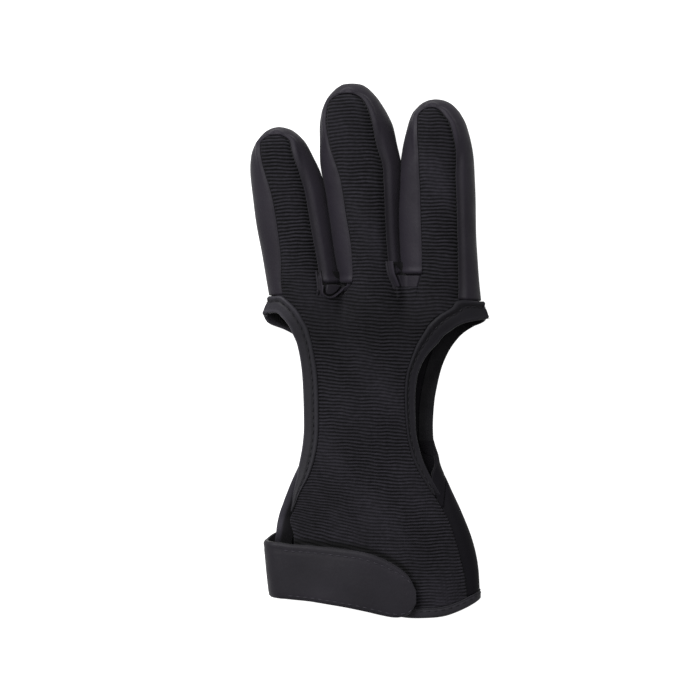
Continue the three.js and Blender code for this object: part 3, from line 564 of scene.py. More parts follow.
def drawn(finger, turn, share):
    """The share of a finger's length on a row that starts past the web at its sides."""
    return share + draw_back(finger, turn) * np.maximum(1 - 2 * share, 0)


def strip_edges(finger, share):
    """Both edges of a finger's strip as shares of the finger's half width, with a rounded end."""
    left = read(finger["strip"], "left", share)
    right = read(finger["strip"], "right", share)
    toward = np.clip((share - (finger["strip_end"] - STRIP_ROUND)) / STRIP_ROUND, 0, 1)
    keep = np.maximum(np.sqrt(np.maximum(1 - toward ** STRIP_ROUND_POWER, 0)), 0.03)
    centre = (left + right) / 2
    return centre + (left - centre) * keep, centre + (right - centre) * keep


def wrinkle(points):
    """Broad uneven dents that run through all the pieces alike."""
    x, y, z = points[:, 0], points[:, 1], points[:, 2]
    up = smooth((z - 3.5) / 5)
    slow = np.sin(x / 6.1 + 0.8 * np.sin(y / 17)) * np.sin(y / 11.3 + 1.3)
    quick = np.sin(x / 3.1 + y / 7.3 + 2.0) * np.sin(y / 5.2 - x / 8.4)
    return up * (0.26 * slow + 0.09 * quick + cuff_fold(x + 8, y + 65.5))


def cuff_fold(x, y):
    """A short diagonal fold on the cuff, on the thumb side over the strap."""
    return 0.8 * bell((x + y) * 0.7, 3.0) * bell((x - y) * 0.7, 10)


class Sheet:
    """An open skin of points and quads, which a wall makes into a closed body."""

    def __init__(self):
        self.blocks = []
        self.count = 0
        self.quads = []
        self.raised = []

    def grid(self, points, relief=0.0):
        rows, columns = points.shape[:2]
        index = self.count + np.arange(rows * columns).reshape(rows, columns)
        self.blocks.append(points.reshape(-1, 3))
        self.raised.append(np.broadcast_to(relief, (rows, columns)).reshape(-1))
        self.count += rows * columns
        return index

    def fill(self, index):
        corners = [index[:-1, :-1], index[:-1, 1:], index[1:, 1:], index[1:, :-1]]
        self.quads.append(np.stack([corner.reshape(-1) for corner in corners], axis=-1))

    def body(self, wall, relief=None):
        """Outer and inner skin and the rim between them, in millimetres."""
        points = np.concatenate(self.blocks)
        raised = np.concatenate(self.raised)
        quads = np.concatenate(self.quads)
        normals = vertex_normals(points, quads)
        points = points + normals * wrinkle(points)[:, None]
        depth = raised if relief is None else raised + relief(points)
        outer = points + normals * depth[:, None]
        inner = points - normals * wall
        outer[:, 2] = np.maximum(outer[:, 2], 0.0)
        inner[:, 2] = np.maximum(inner[:, 2], 0.0)
        rim = boundary_edges(quads)
        count = len(points)
        sides = np.stack([rim[:, 1], rim[:, 0], rim[:, 0] + count, rim[:, 1] + count], axis=-1)
        faces = np.concatenate([quads, quads[:, ::-1] + count, sides])
        return np.concatenate([outer, inner]), faces, np.concatenate([depth, np.full(count, -1.0)])


def vertex_normals(points, quads):
    first = points[quads[:, 2]] - points[quads[:, 0]]
    second = points[quads[:, 3]] - points[quads[:, 1]]
    faces = np.cross(first, second)
    sums = np.zeros_like(points)
    for corner in range(4):
        np.add.at(sums, quads[:, corner], faces)
    return unit(sums)


def boundary_edges(quads):
    starts = quads.reshape(-1)
    ends = np.roll(quads, -1, axis=1).reshape(-1)
    size = int(quads.max()) + 1
    forward = starts.astype(np.int64) * size + ends
    backward = ends.astype(np.int64) * size + starts
    alone = ~np.isin(forward, backward)
    return np.stack([starts[alone], ends[alone]], axis=-1)


def leather_shade(depth, count):
    """Painted light and shade: outer skins are light, with a painted highlight on a bead and painted
    shade in a groove, and inner skins are dark with painted shade.
    """
    return np.where(np.arange(len(depth)) < count, np.clip(0.82 + 0.4 * depth, 0.3, 1.0), 0.0)


def add_object(name, data):
    obj = bpy.data.objects.new(name, data)
    bpy.context.collection.objects.link(obj)
    return obj


def make_object(name, points, faces, material, shade=None):
    mesh = bpy.data.meshes.new(name)
    mesh.from_pydata((points * MM).tolist(), [], [list(face) for face in faces])
    mesh.validate()
    mesh.polygons.foreach_set("use_smooth", [True] * len(mesh.polygons))
    if shade is not None:
        # The shade layer carries painted light and shade, which the materials turn into colour.
        layer = mesh.color_attributes.new("shade", "FLOAT_COLOR", "POINT")
        values = np.repeat(shade[:, None], 4, axis=1)
        values[:, 3] = 1.0
        layer.data.foreach_set("color", values.reshape(-1))
    mesh.update()
    obj = add_object(name, mesh)
    obj.data.materials.append(material)
    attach(obj, "root")
    return obj


def leather_panel(name, points, relief, wall, material, tone=1.0):
    """A piece of leather from one grid of points."""
    sheet = Sheet()
    sheet.fill(sheet.grid(points, relief))
    points, faces, depth = sheet.body(wall)
    shade = leather_shade(depth, sheet.count)
    # tone is a further painted shade on the outer skin.
    shade[:sheet.count] *= tone
    return make_object(name, points, faces, material, shade)


def soften_rim(obj, width):
    bevel = obj.modifiers.new("rim", "BEVEL")
    bevel.width = width * MM
    bevel.segments = 2
    bevel.limit_method = "ANGLE"
    bevel.angle_limit = math.radians(50)


# Materials


def new_material(name, color, roughness, sheen, specular):
    material = bpy.data.materials.new(name)
    material.use_nodes = True
    shader = material.node_tree.nodes["Principled BSDF"]
    shader.inputs["Base Color"].default_value = (*color, 1)
    shader.inputs["Roughness"].default_value = roughness
    shader.inputs["Sheen Weight"].default_value = sheen
    shader.inputs["Sheen Roughness"].default_value = 0.5
    shader.inputs["Specular IOR Level"].default_value = specular
    return material, material.node_tree, shader


def add_node(tree, kind, **inputs):
    node = tree.nodes.new(kind)
    for name, value in inputs.items():
        node.inputs[name.replace("_", " ")].default_value = value
    return node


def texture(tree, kind, **inputs):
    """A texture laid out in the piece's own coordinates."""
    node = add_node(tree, kind, **inputs)
    place = tree.nodes.new("ShaderNodeTexCoord")
    tree.links.new(place.outputs["Object"], node.inputs["Vector"])
    return node


def noise(tree, scale, detail):
    return texture(tree, "ShaderNodeTexNoise", Scale=scale, Detail=detail).outputs["Fac"]


def ramp(tree, source, low, high, dark, light):
    ends = {"From_Min": low, "From_Max": high, "To_Min": dark, "To_Max": light}
    node = add_node(tree, "ShaderNodeMapRange", **ends)
    node.clamp = False
    tree.links.new(source, node.inputs["Value"])
    return node.outputs["Result"]


def mottle(tree, scale, detail, dark, light):
    """Soft patches between a dark and a light factor."""
    return ramp(tree, noise(tree, scale, detail), 0.3, 0.7, dark, light)


def tinted(tree, color, factor):
    node = tree.nodes.new("ShaderNodeMix")
    node.data_type = "RGBA"
    node.blend_type = "MULTIPLY"
    node.inputs["Factor"].default_value = 1.0
    node.inputs["A"].default_value = (*color, 1)
    tree.links.new(factor, node.inputs["B"])
    return node.outputs["Result"]


def bump(tree, heights):
    """Chains bumps, each a height, its strength and its depth in metres."""
    normal = None
    for height, strength, distance in heights:
        node = add_node(tree, "ShaderNodeBump", Strength=strength, Distance=distance)
        tree.links.new(height, node.inputs["Height"])
        if normal is not None:
            tree.links.new(normal, node.inputs["Normal"])
        normal = node.outputs["Normal"]
    return normal


def skin_shade(tree, dark, light):
    """Painted shade, dark in grooves and on the inner skin, and painted highlight, light on ridges of
    the outer one.
    """
    shade = tree.nodes.new("ShaderNodeAttribute")
    shade.attribute_name = "shade"
    return ramp(tree, shade.outputs["Fac"], 0.0, 1.0, dark, light)


def times(tree, first, second):
    node = tree.nodes.new("ShaderNodeMath")
    node.operation = "MULTIPLY"
    tree.links.new(first, node.inputs[0])
    tree.links.new(second, node.inputs[1])
    return node.outputs["Value"]


def leather_material(name, color, inner, specular):
    material, tree, shader = new_material(name, color, 0.6, 0.02, specular)
    patches = mottle(tree, 45, 4, 0.82, 1.18)
    # Painted shade and highlight from the shade layer, times random patches of tone.
    tone = times(tree, skin_shade(tree, inner, 1.0), patches)
    tree.links.new(tinted(tree, color, tone), shader.inputs["Base Color"])
    tree.links.new(mottle(tree, 160, 3, 0.55, 0.7), shader.inputs["Roughness"])
    fine = noise(tree, 2600, 3)
    grain = noise(tree, 700, 5)
    crease = noise(tree, 120, 4)
    heights = [(crease, 0.25, 0.0006), (grain, 0.35, 0.00018), (fine, 0.4, 0.00006)]
    tree.links.new(bump(tree, heights), shader.inputs["Normal"])
    return material


def knit_cells(tree):
    """Small stitches across each rib."""
    wave = texture(tree, "ShaderNodeTexWave", Scale=330, Distortion=1.2, Detail=2, Detail_Scale=3)
    wave.bands_direction = "X"
    return wave.outputs["Fac"]


def fabric_material(name, color):
    material, tree, shader = new_material(name, color, 0.8, 0.02, 0.08)
    patches = mottle(tree, 60, 4, 0.85, 1.15)
    flecks = mottle(tree, 620, 3, 0.72, 1.28)
    # Painted shade in rib grooves and on the inner skin and painted highlight on ridges, times random
    # patches and flecks of tone.
    tone = times(tree, skin_shade(tree, 0.0, 1.45), times(tree, patches, flecks))
    tree.links.new(tinted(tree, color, tone), shader.inputs["Base Color"])
    heights = [(knit_cells(tree), 0.15, 0.0001), (noise(tree, 1500, 4), 0.4, 0.0001)]
    tree.links.new(bump(tree, heights), shader.inputs["Normal"])
    return material


def thread_material(name, color):
    material, tree, shader = new_material(name, color, 0.6, 0.02, 0.12)
    tree.links.new(bump(tree, [(noise(tree, 3000, 2), 0.4, 0.0001)]), shader.inputs["Normal"])
    return material


# Leathers: name, colour, the inner skin's painted shade as a factor of the colour, and specular.
STALL = leather_material("stall_leather", (0.0078, 0.0064, 0.0098), 0.12, 0.11)
# The palm leather's dark base colour is painted shade for the palm side, which faces away from the key
# light.
PALM = leather_material("palm_leather", (0.0024, 0.0021, 0.0031), 0.9, 0.04)
BINDING = leather_material("binding_leather", (0.0086, 0.0080, 0.0104), 0.2, 0.12)
# A darker copy of the binding leather: painted shade for the little finger side binding, which faces
# away from the key light.
SHADED_BINDING = leather_material("shaded_binding_leather", (0.0052, 0.0048, 0.0064), 0.5, 0.07)
STRAP = leather_material("strap_leather", (0.0072, 0.0064, 0.0088), 0.4, 0.11)
FABRIC = fabric_material("ribbed_fabric", (0.0056, 0.0051, 0.0069))
HOOK = fabric_material("hook_pad", (0.008, 0.008, 0.009))
THREAD = thread_material("thread", (0.0042, 0.0038, 0.0052))
LIGHT_THREAD = thread_material("light_thread", (0.015, 0.0135, 0.018))


# Ribbed back panel


def rib_lean(x, y):
    """How far the ribs hang down at a point: they slope over the hand and tilt on each finger."""
    hand = -0.9 * np.log1p(np.exp((8 - x) / 9))
    away = []
    for finger in FINGERS:
        share = (y - KNUCKLE_Y) / finger_length(finger)
        away.append(x - mix(finger["base_x"], finger["tip_x"], share))
    away = np.array(away)
    nearest = np.argmin(np.abs(away), axis=0)
    tilt = np.array(RIB_LEANS)[nearest] * np.take_along_axis(away, nearest[None], axis=0)[0]
    drag = -0.7 * np.log1p(np.exp((-3 - x) / 4)) * bell(y + 68, 13)
    return hand * (1 - 0.5 * smooth((y - 14) / 30)) + drag + tilt * smooth((y - KNUCKLE_Y) / 14)


def rib_phase(x, y):
    wave = 0.26 * np.sin(x / 8.5 + 1.7 * np.sin(y / 19)) + 0.14 * np.sin(x / 3.1 + y / 6.5)
    wave = wave + 0.13 * np.sin(x / 1.9 - y / 3.7 + 2 * np.sin(y / 13))
    wave = wave + 0.07 * np.sin(x / 0.95 + y / 2.1 + 1.5 * np.sin(x / 5 - y / 7))
    tight = 0.5 * RIB_TIGHTENING * np.maximum(KNUCKLE_Y - y, 0) ** 2
    return (y + rib_lean(x, y) + wave) / RIB_PITCH - tight


def rib_strength(x, y):
    """Some patches of the fabric are stretched, and their ribs are flatter."""
    slow = np.sin(x / 7.3 + 1.1) * np.sin(y / 8.9 + 0.6 * np.sin(x / 11))
    slow = slow + 0.5 * np.sin(x / 3.3 + y / 4.1)
    return np.clip(0.84 + 0.2 * slow, 0.5, 1.0)


def rib_height(points):
    """Round ridges with narrow grooves between them, from 0 in a groove to 1 on a ridge."""
    x, y = points[:, 0], points[:, 1]
    ridge = np.abs(np.cos(math.pi * rib_phase(x, y))) ** 1.1
    return 1 - rib_strength(x, y) * (1 - ridge)


def strip_rows(finger, shares, columns):
    """Rows straight across a finger's strip, which spreads into the hand at its lower end."""
    part = 2 * FINGERS.index(finger)
    knuckle_left = edge_x(BACK_LEFT, 0.0)
    knuckle_right = edge_x(BACK_RIGHT, 0.0)
    middle, half, _, _, _ = finger_section(finger, shares)
    rise = shares * finger_length(finger)
    crotches = ["crotch_left", "crotch_right"]
    sides = []
    for edge, crotch, split in zip(strip_edges(finger, shares), crotches, [part, part + 1]):
        base_x = mix(knuckle_left, knuckle_right, KNUCKLE_SPLITS[split])
        spread = smooth(rise / max(finger[crotch] * WEB_LENGTH, 0.01))
        sides.append(mix(base_x, middle + half * edge, spread))
    left = sides[0] + SEAM_GAP
    right = sides[1] - SEAM_GAP
    x = mix(left[:, None], right[:, None], clustered(columns))
    reach = (x - middle[:, None]) / half[:, None]
    on_finger = finger_point(finger, shares[:, None], top_turn_left(reach))
    on_hand = hand_top(x, -rise[:, None] / HAND_LENGTH)
    return mix(on_hand, on_finger, smooth(rise / WEB_LENGTH)[:, None, None])


def clustered(columns):
    """Places across a strip, closer together at both edges."""
    share = np.linspace(0, 1, columns)
    return mix(share, (1 - np.cos(math.pi * share)) / 2, 0.6)


def edge_sink(columns):
    """The strip dips into its seam at both edges, and more at the little finger side."""
    place = clustered(columns)
    return -0.3 * bell(place, 0.07) - 0.8 * bell(1 - place, 0.12)


def settled_edge(rows, row):
    x = edge_x(rows, row)
    for _ in range(5):
        x = edge_x(rows, row_along(row, x))
    return x


def with_tucks(left, right, columns, tuck):
    """Places from left to right, with two more past each side for the strips that are tucked in."""
    inside = mix(left, right, np.linspace(0, 1, columns))
    return np.concatenate([left - tuck[:, ::-1], inside, right + tuck], axis=1)


def crotch_grid(fingers, low, high, rows, columns):
    """A patch between two fingers from low to high above the knuckles, tucked in at both sides."""
    rise = np.linspace(low, high, rows)
    strips = [strip_rows(finger, rise / finger_length(finger), 2) for finger in fingers]
    left = strips[0][:, 1:, 0] + CROTCH_GAP
    right = strips[1][:, :1, 0] - CROTCH_GAP
    x = with_tucks(left, right, columns, TUCK_REACH * TUCK_STEPS / 2)
    return hand_top(x, -rise[:, None] / HAND_LENGTH)


def tucked(relief):
    """A relief with both of its tucked side strips sunk."""
    drop = np.full((len(relief), 2), -TUCK_DEPTH)
    return np.concatenate([drop, relief, drop], axis=1)


def strap_shadow(points):
    """Dark fabric along the strap's upper edge, where the strap stands off it."""
    x, y = points[:, 0], points[:, 1]
    run = np.clip((x - STRAP_LOOP_X) / (STRAP_END_X - STRAP_LOOP_X), 0, 1)
    above = y - y_at(read(STRAP_EDGES, "upper", mix(STRAP_LOOP_SHARE, 1, run)), x)
    return 0.95 * bell(above - 0.9, 1.3) * (1 - smooth((x - STRAP_END_X) / 1.5))


def build_back_panel():
    sheet = Sheet()
    places = [np.zeros(1)]
    for part, cells in enumerate(BACK_CELLS):
        inside = clustered(cells + 1)[1:]
        places.append(mix(KNUCKLE_SPLITS[part], KNUCKLE_SPLITS[part + 1], inside))
    places = np.concatenate(places)
    down = np.linspace(0, panel_end_along(HAND_MIDDLE_X), BACK_ROWS)
    left = settled_edge(BACK_LEFT, down)[:, None]
    right = settled_edge(BACK_RIGHT, down)[:, None]
    x = mix(left, right, places)
    hand = sheet.grid(hand_top(x, row_along(down[:, None], x)))
    sheet.fill(hand[::-1])
    for part, finger in enumerate(FINGERS):
        start = sum(BACK_CELLS[:2 * part])
        columns = BACK_CELLS[2 * part] + 1
        shares = np.linspace(0, finger["strip_end"] - 0.004, STRIP_ROWS)[1:]
        strip = sheet.grid(strip_rows(finger, shares, columns), edge_sink(columns))
        base = hand[0, start:start + columns]
        sheet.fill(np.concatenate([base[None], strip]))
    patch = crotch_grid([MIDDLE, RING], 0.0, RING_WEB_START, *PATCH_CELLS)
    sheet.fill(sheet.grid(patch, tucked(np.zeros(PATCH_CELLS))))
    points, faces, depth = sheet.body(FABRIC_WALL, lambda p: RIB_DEPTH * (rib_height(p) - 1))
    # Painted shade on the fabric: darker in rib grooves and sunk places and lighter on ridges, a
    # painted shade band over the dip below the knuckles, and the strap's painted shadow.
    ribs = (rib_height(points) + 0.3 * (depth + 0.1)) * (1 - 0.34 * bell(points[:, 1] - 12, 14))
    ribs = ribs * (1 - strap_shadow(points))
    shade = np.where(np.arange(len(points)) < sheet.count, ribs, 0.0)
    obj = make_object("back_ribbed_fabric", points, faces, FABRIC, np.clip(shade, 0, 1))
    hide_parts("back_panel")


# Finger stalls


def stall_relief(finger, share, turns, turn_left, turn_right):
    """A welt round the strip's upper end, valleys beside the rest of it, and a lip at the crotches."""
    _, half, _, _, _ = finger_section(finger, share)
    away_right = np.abs(turn_right - turns) * half * 1.1
    away_left = np.abs(turns - turn_left) * half * 1.1
    upper = smooth((share - 0.66) / 0.2)
    past = np.maximum(share - finger["strip_end"], 0) * finger_length(finger)
    away = np.hypot(np.minimum(away_right, away_left), past)
    welt = upper * WELT_HEIGHT * bell(away - WELT_REACH, 0.75)
    right_valley = (1 - upper) * VALLEY_DEPTH * (1 - smooth((away_right - 0.8) / VALLEY_REACH))
    left_valley = (1 - upper) * 0.3 * bell(away_left, 0.6)
    begin = draw_back(finger, turns) * finger_length(finger)
    lip = 0.5 * smooth((begin - 2) / 2) * bell(share * finger_length(finger) - 1.2, 1.0)
    tuck = np.where(share < -0.001, -0.9, 0.0)
    return welt - right_valley - left_valley + lip + tuck


def stall_turns(turn_left, turn_right):
    """Turns of a stall's columns: right flank, under, left flank, then over the window's end."""
    ease = np.linspace(0, 1, FLANK_COLUMNS)
    near_right = mix(turn_right, 1, ease ** FLANK_POWER)
    near_left = mix(-1, turn_left, 1 - (1 - ease) ** FLANK_POWER)
    under = np.concatenate([UNDER_TURNS, [0], -UNDER_TURNS[::-1]])
    under = np.broadcast_to(under, (len(turn_left), len(under)))
    over = mix(turn_left, turn_right - 4, np.linspace(0, 1, OVER_COLUMNS + 2)[None, 1:-1])
    return np.concatenate([near_right, under, near_left, over], axis=1)


def close_tip(sheet, ring, tip):
    """Walls of a stall, with its last ring of points joined to one point at the tip."""
    points, faces, depth = sheet.body(STALL_WALL)
    faces = faces[~np.isin(faces % sheet.count, ring).all(axis=1)]
    fan = np.stack([ring[:-1], ring[1:], np.full(len(ring) - 1, tip)], axis=-1)
    inner_fan = fan[:, [0, 2, 1]] + sheet.count
    points[tip + sheet.count] = points[tip] - np.array([0, STALL_WALL, 0])
    return points, faces.tolist() + fan.tolist() + inner_fan.tolist(), depth


def build_stall(finger):
    end = finger["strip_end"]
    low_shares = np.concatenate([UNDER_WEB_SHARES, np.linspace(0, WINDOW_START, LOW_ROWS)[:-1]])
    mid_shares = np.linspace(WINDOW_START, end, WINDOW_ROWS)
    tip_shares = 1 - (1 - end) * (1 - np.linspace(0, 1, TIP_ROWS)[1:-1]) ** TIP_POWER
    shares = np.concatenate([low_shares, mid_shares, tip_shares])
    window_row = len(low_shares) + len(mid_shares) - 1
    left, _ = strip_edges(finger, np.clip(drawn(finger, -1.0, shares), 0, end))
    _, right = strip_edges(finger, np.clip(drawn(finger, 1.0, shares), 0, end))
    turn_left = top_turn_left(left)[:, None]
    turn_right = top_turn_right(right)[:, None]
    turns = stall_turns(turn_left, turn_right)
    share = shares[:, None]
    sheet = Sheet()
    skin = finger_point(finger, drawn(finger, turns, share), turns)
    index = sheet.grid(skin, stall_relief(finger, share, turns, turn_left, turn_right))
    sheet.fill(index[:window_row + 1, :-OVER_COLUMNS])
    closed = np.concatenate([index[window_row:], index[window_row:, :1]], axis=1)
    sheet.fill(closed)
    tip = sheet.grid(finger_point(finger, np.array([[1.0]]), np.array([[0.0]])))[0, 0]
    points, faces, depth = close_tip(sheet, closed[-1], tip)
    shade = leather_shade(depth, sheet.count)
    obj = make_object(finger["node"] + "_leather", points, faces, STALL, shade)
    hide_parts(finger["node"])


# Palm and bindings


def build_palm():
    rows = np.linspace(SEAM_GAP / HAND_LENGTH, panel_end_along(HAND_MIDDLE_X), PALM_ROWS)
    left = palm_left_turn(rows)[:, None]
    right = palm_right_turn(rows)[:, None]
    turn = with_tucks(left, right, PALM_COLUMNS, TUCK_REACH * TUCK_STEPS / TURN_RUN)
    row = np.broadcast_to(rows[:, None], turn.shape)
    guess = hand_point(row, turn)[..., 0]
    columns = np.arange(turn.shape[1])
    seam = bell(columns - PALM_SEAM_COLUMN, 4) * smooth((rows[:, None] - 0.5) / 0.08)
    drop = -0.5 * seam
    drop[:, [0, 1, -2, -1]] = -TUCK_DEPTH
    points = hand_point(row_along(row, guess), turn)
    # Painted shade in the valley beside the little finger side seam.
    tone = 1 - 0.5 * seam.reshape(-1)
    obj = leather_panel("palm_leather_panel", points, drop, PALM_WALL, PALM, tone)
    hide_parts("palm_panel")


def back_stations(side):
    """A binding's stations over the back of the hand, then round its side at the knuckles."""
    edges = BACK_LEFT if side < 0 else BACK_RIGHT
    turns = LEFT_TURN if side < 0 else RIGHT_TURN
    top_turn = top_turn_left if side < 0 else top_turn_right
    start, end = LEFT_TOP_RANGE if side < 0 else RIGHT_TOP_RANGE
    rows = BACK_TOP_ROWS[(BACK_TOP_ROWS >= start) & (BACK_TOP_ROWS <= end)][::-1]
    gap = side * SEAM_GAP * slant(edges, rows)
    width = side * BINDING_WIDTH * read(edges, "width", rows)
    inner = top_turn(edge_reach(edges, rows, gap))
    outer = top_turn(edge_reach(edges, rows, gap + width))
    over = np.stack([rows, inner, rows, outer], axis=-1)
    rows = turns["inner_along"]
    gap = side * 1.2 * SEAM_GAP * slant(edges, rows)
    edge = np.abs(top_turn(edge_reach(edges, rows, gap)))
    inner = side * np.minimum(edge, turns["inner_turn"])
    around = np.stack([rows, inner, turns["outer_along"], side * turns["outer_turn"]], axis=-1)
    return np.concatenate([over, around])


def palm_stations(side):
    """A binding's stations along the palm's edge."""
    rows = refine(np.stack([PALM_BINDING_ROWS["inner"], PALM_BINDING_ROWS["outer"]], axis=-1))
    inner_rows, outer_rows = rows[:, 0], rows[:, 1]
    if side < 0:
        inner = palm_left_turn(inner_rows) - TURN_GAP
        outer = floor_turn(edge_reach(PALM_LEFT, outer_rows))
    else:
        inner = palm_right_turn(inner_rows) + TURN_GAP
        outer = palm_right_edge(outer_rows)
    return np.stack([inner_rows, inner, outer_rows, outer], axis=-1)


def cuff_stations():
    """The thumb side binding's last stations, under the strap."""
    rows = np.linspace(PALM_CUFF_START, PALM_CUFF_END, CUFF_STATIONS)
    inner = palm_left_turn(rows) - TURN_GAP
    outer = floor_turn(edge_reach(PALM_LEFT, rows))
    rows = row_along(rows, hand_point(rows, inner)[..., 0])
    return np.stack([rows, inner, rows, outer], axis=-1)


def binding_stations(side):
    """Inner and outer edge of a binding all the way round, as along and turn."""
    palm = palm_stations(side)
    back = refine(np.concatenate([back_stations(side), palm[:1]]))[:-1]
    cuff = [cuff_stations()] if side < 0 else []
    return np.concatenate([back, palm, *cuff])


def refine(stations):
    """A smooth curve through stations, with a few steps between neighbours."""
    slopes = np.gradient(stations, axis=0)
    steps = np.linspace(0, 1, STATION_STEPS, endpoint=False)[:, None]
    rows = []
    for index in range(len(stations) - 1):
        ends = stations[index], stations[index + 1]
        rows.append(hermite(*ends, slopes[index], slopes[index + 1], steps))
    rows.append(stations[-1:])
    return np.concatenate(rows)


def binding_relief(place):
    """A bead at the panel's edge, a stitched groove, then a band that rolls over the free edge."""
    bead = BEAD_HEIGHT * bell(place - 0.12, 0.10)
    groove = -0.25 * bell(place - 0.33, 0.07)
    edge = 0.3 * bell(place - 0.9, 0.07)
    roll = -0.4 * np.clip((place - 0.72) / 0.28, 0, 1) ** 2
    return bead + groove + edge + roll


def band_points(stations, place):
    along = mix(stations[:, 0:1], stations[:, 2:3], place)
    turn = mix(stations[:, 1:2], stations[:, 3:4], place)
    return hand_point(along, turn)


def build_binding(side, node, material, stitched):
    stations = binding_stations(side)
    is_left = side < 0
    place = np.linspace(0, 1, BINDING_COLUMNS)
    climbs = (np.arange(len(stations)) > stitched) & (not is_left)
    climb = (smooth((stations[:, 0] - 0.42) / 0.05) * climbs)[:, None]
    sheet = Sheet()
    index = sheet.grid(band_points(stations, place), binding_relief(place) * (1 - climb))
    sheet.fill(index[::-1] if is_left else index)
    points, faces, depth = sheet.body(BINDING_WALL)
    # Painted light and shade on the binding: a painted highlight near the knuckle on the thumb side, a
    # painted highlight along the rolled free edge, and painted shade in the stitched groove and on the
    # climbing part.
    knuckle_highlight = 0.45 * (1 - smooth((stations[:, 0:1] - 0.03) / 0.09)) if is_left else 0.0
    edge_highlight = (1.5 if is_left else 0.7) * bell(place - 0.92, 0.06)
    groove_shade = 0.4 * bell(place - 0.35, 0.09)
    painted_light_and_shade = (1 - 0.7 * climb) * (1 + edge_highlight + knuckle_highlight) * (1 - groove_shade)
    shade = leather_shade(depth, sheet.count)
    shade[:sheet.count] *= painted_light_and_shade.reshape(-1)
    if is_left:
        # On the thumb side the inner skin gets painted shade: dark near the panel, light towards the
        # free edge.
        rim = 0.15 + 1.95 * smooth((place - 0.56) / 0.2)
        shade[sheet.count:] = np.broadcast_to(rim, index.shape).reshape(-1)
    obj = make_object(node + "_leather", points, faces, material, shade)
    shade_climb(obj, climb[:, 0] > 0.5, index.shape[1])
    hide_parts(node)
    line, outward = surface_line(stations[:stitched], 0.33)
    build_stitches(node + "_stitches", line, outward, -0.12)


def shade_climb(obj, climbs, columns):
    """The part of a binding that climbs beside the cuff gets the palm's darker leather as painted
    shade.
    """
    obj.data.materials.append(PALM)
    for face in obj.data.polygons:
        row = face.vertices[0] // columns % len(climbs)
        face.material_index = int(climbs[row])


def line_normals(line, across):
    return unit(np.cross(across, np.gradient(line, axis=0)))


def surface_line(stations, place):
    """A line along a band and the outward direction on it."""
    near = band_points(stations, np.array([place - 0.1, place, place + 0.1]))
    line = near[:, 1]
    outward = line_normals(line, near[:, 2] - near[:, 0])
    centre = np.array([HAND_MIDDLE_X, 0, GLOVE_MIDDLE_Z])
    flip = np.sign(np.sum(outward[:, [0, 2]] * (line - centre)[:, [0, 2]], axis=1))
    flip[flip == 0] = 1
    return line, outward * flip[:, None]


# Stitches


def interpolate(place, run, values):
    return np.stack([np.interp(place, run, column) for column in values.T], axis=-1)


def thread_faces(rings, sides):
    """Faces of one thread: a tube round its rings, closed at both ends."""
    faces = []
    for ring in range(rings - 1):
        for corner in range(sides):
            one = ring * sides + corner
            two = ring * sides + (corner + 1) % sides
            faces.append((one, two, two + sides, one + sides))
    faces.append(tuple(reversed(range(sides))))
    faces.append(tuple(range((rings - 1) * sides, rings * sides)))
    return faces


def build_stitches(name, line, outward, lift, thread=THREAD):
    """Short threads along a line and a little over it, each sunk at both ends."""
    line = line + outward * (wrinkle(line)[:, None] + lift)
    steps = np.linalg.norm(np.diff(line, axis=0), axis=1)
    run = np.concatenate([[0], np.cumsum(steps)])
    starts = np.arange(STITCH_PITCH * 0.5, run[-1] - STITCH_LENGTH, STITCH_PITCH)
    share = np.arange(STITCH_RINGS) / (STITCH_RINGS - 1)
    place = starts[:, None] + STITCH_LENGTH * share
    centre = interpolate(place, run, line)
    up = interpolate(place, run, outward)
    across = unit(np.cross(up, interpolate(place + 0.3, run, line) - centre))
    swell = np.sin(math.pi * mix(0.08, 0.92, share)) ** 0.5
    rise = 0.10 * np.sin(math.pi * share) - 0.16 * (2 * share - 1) ** 4
    angle = (2 * math.pi * np.arange(STITCH_SIDES) / STITCH_SIDES)[:, None]
    offset = across[..., None, :] * np.cos(angle) + up[..., None, :] * np.sin(angle)
    axis = (centre + up * rise[:, None])[..., None, :]
    points = (axis + offset * (STITCH_RADIUS * swell)[:, None, None]).reshape(-1, 3)
    points[:, 2] = np.maximum(points[:, 2], 0.0)
    faces = []
    for base in range(0, len(points), STITCH_RINGS * STITCH_SIDES):
        for face in thread_faces(STITCH_RINGS, STITCH_SIDES):
            faces.append(tuple(base + vertex for vertex in face))
    obj = make_object(name, points, faces, thread)


# Webs, hem, strap and pad


def web_edges(across):
    return 0.6 * (bell(across, 0.04) + bell(1 - across, 0.04))


def index_web_relief(across, up):
    """A bead in the form of a U, round a small tab with a deep hollow over it."""
    aside = across - 0.48
    out = np.hypot(aside / 0.42, np.minimum((up - 0.6) / 0.52, 0))
    bead = 0.75 * bell(out - 0.9, 0.11)
    groove = -1.3 * bell(out - 0.68, 0.10)
    arch = smooth((up - 0.86 + 0.5 * aside ** 2) / 0.1)
    hollow = 1.9 * arch * (1 - smooth((out - 0.8) / 0.2))
    outside = 0.6 * smooth((out - 1.04) / 0.1) * smooth((0.6 - up) / 0.2)
    top_end = 0.9 * smooth((up - 1.2) / 0.4)
    return bead + groove - 0.3 - hollow - outside - top_end - web_edges(across)


def ring_web_relief(across, up):
    """A bead at the middle finger's side and a square tab with a hollow over it."""
    limb = 0.8 * bell(across - 0.11, 0.06)
    slit = -1.4 * bell(across - 0.22, 0.04)
    hollow = -1.8 * smooth((up - 0.84) / 0.1) * smooth((across - 0.12) / 0.08)
    return limb + slit + hollow - 0.3 - web_edges(across)


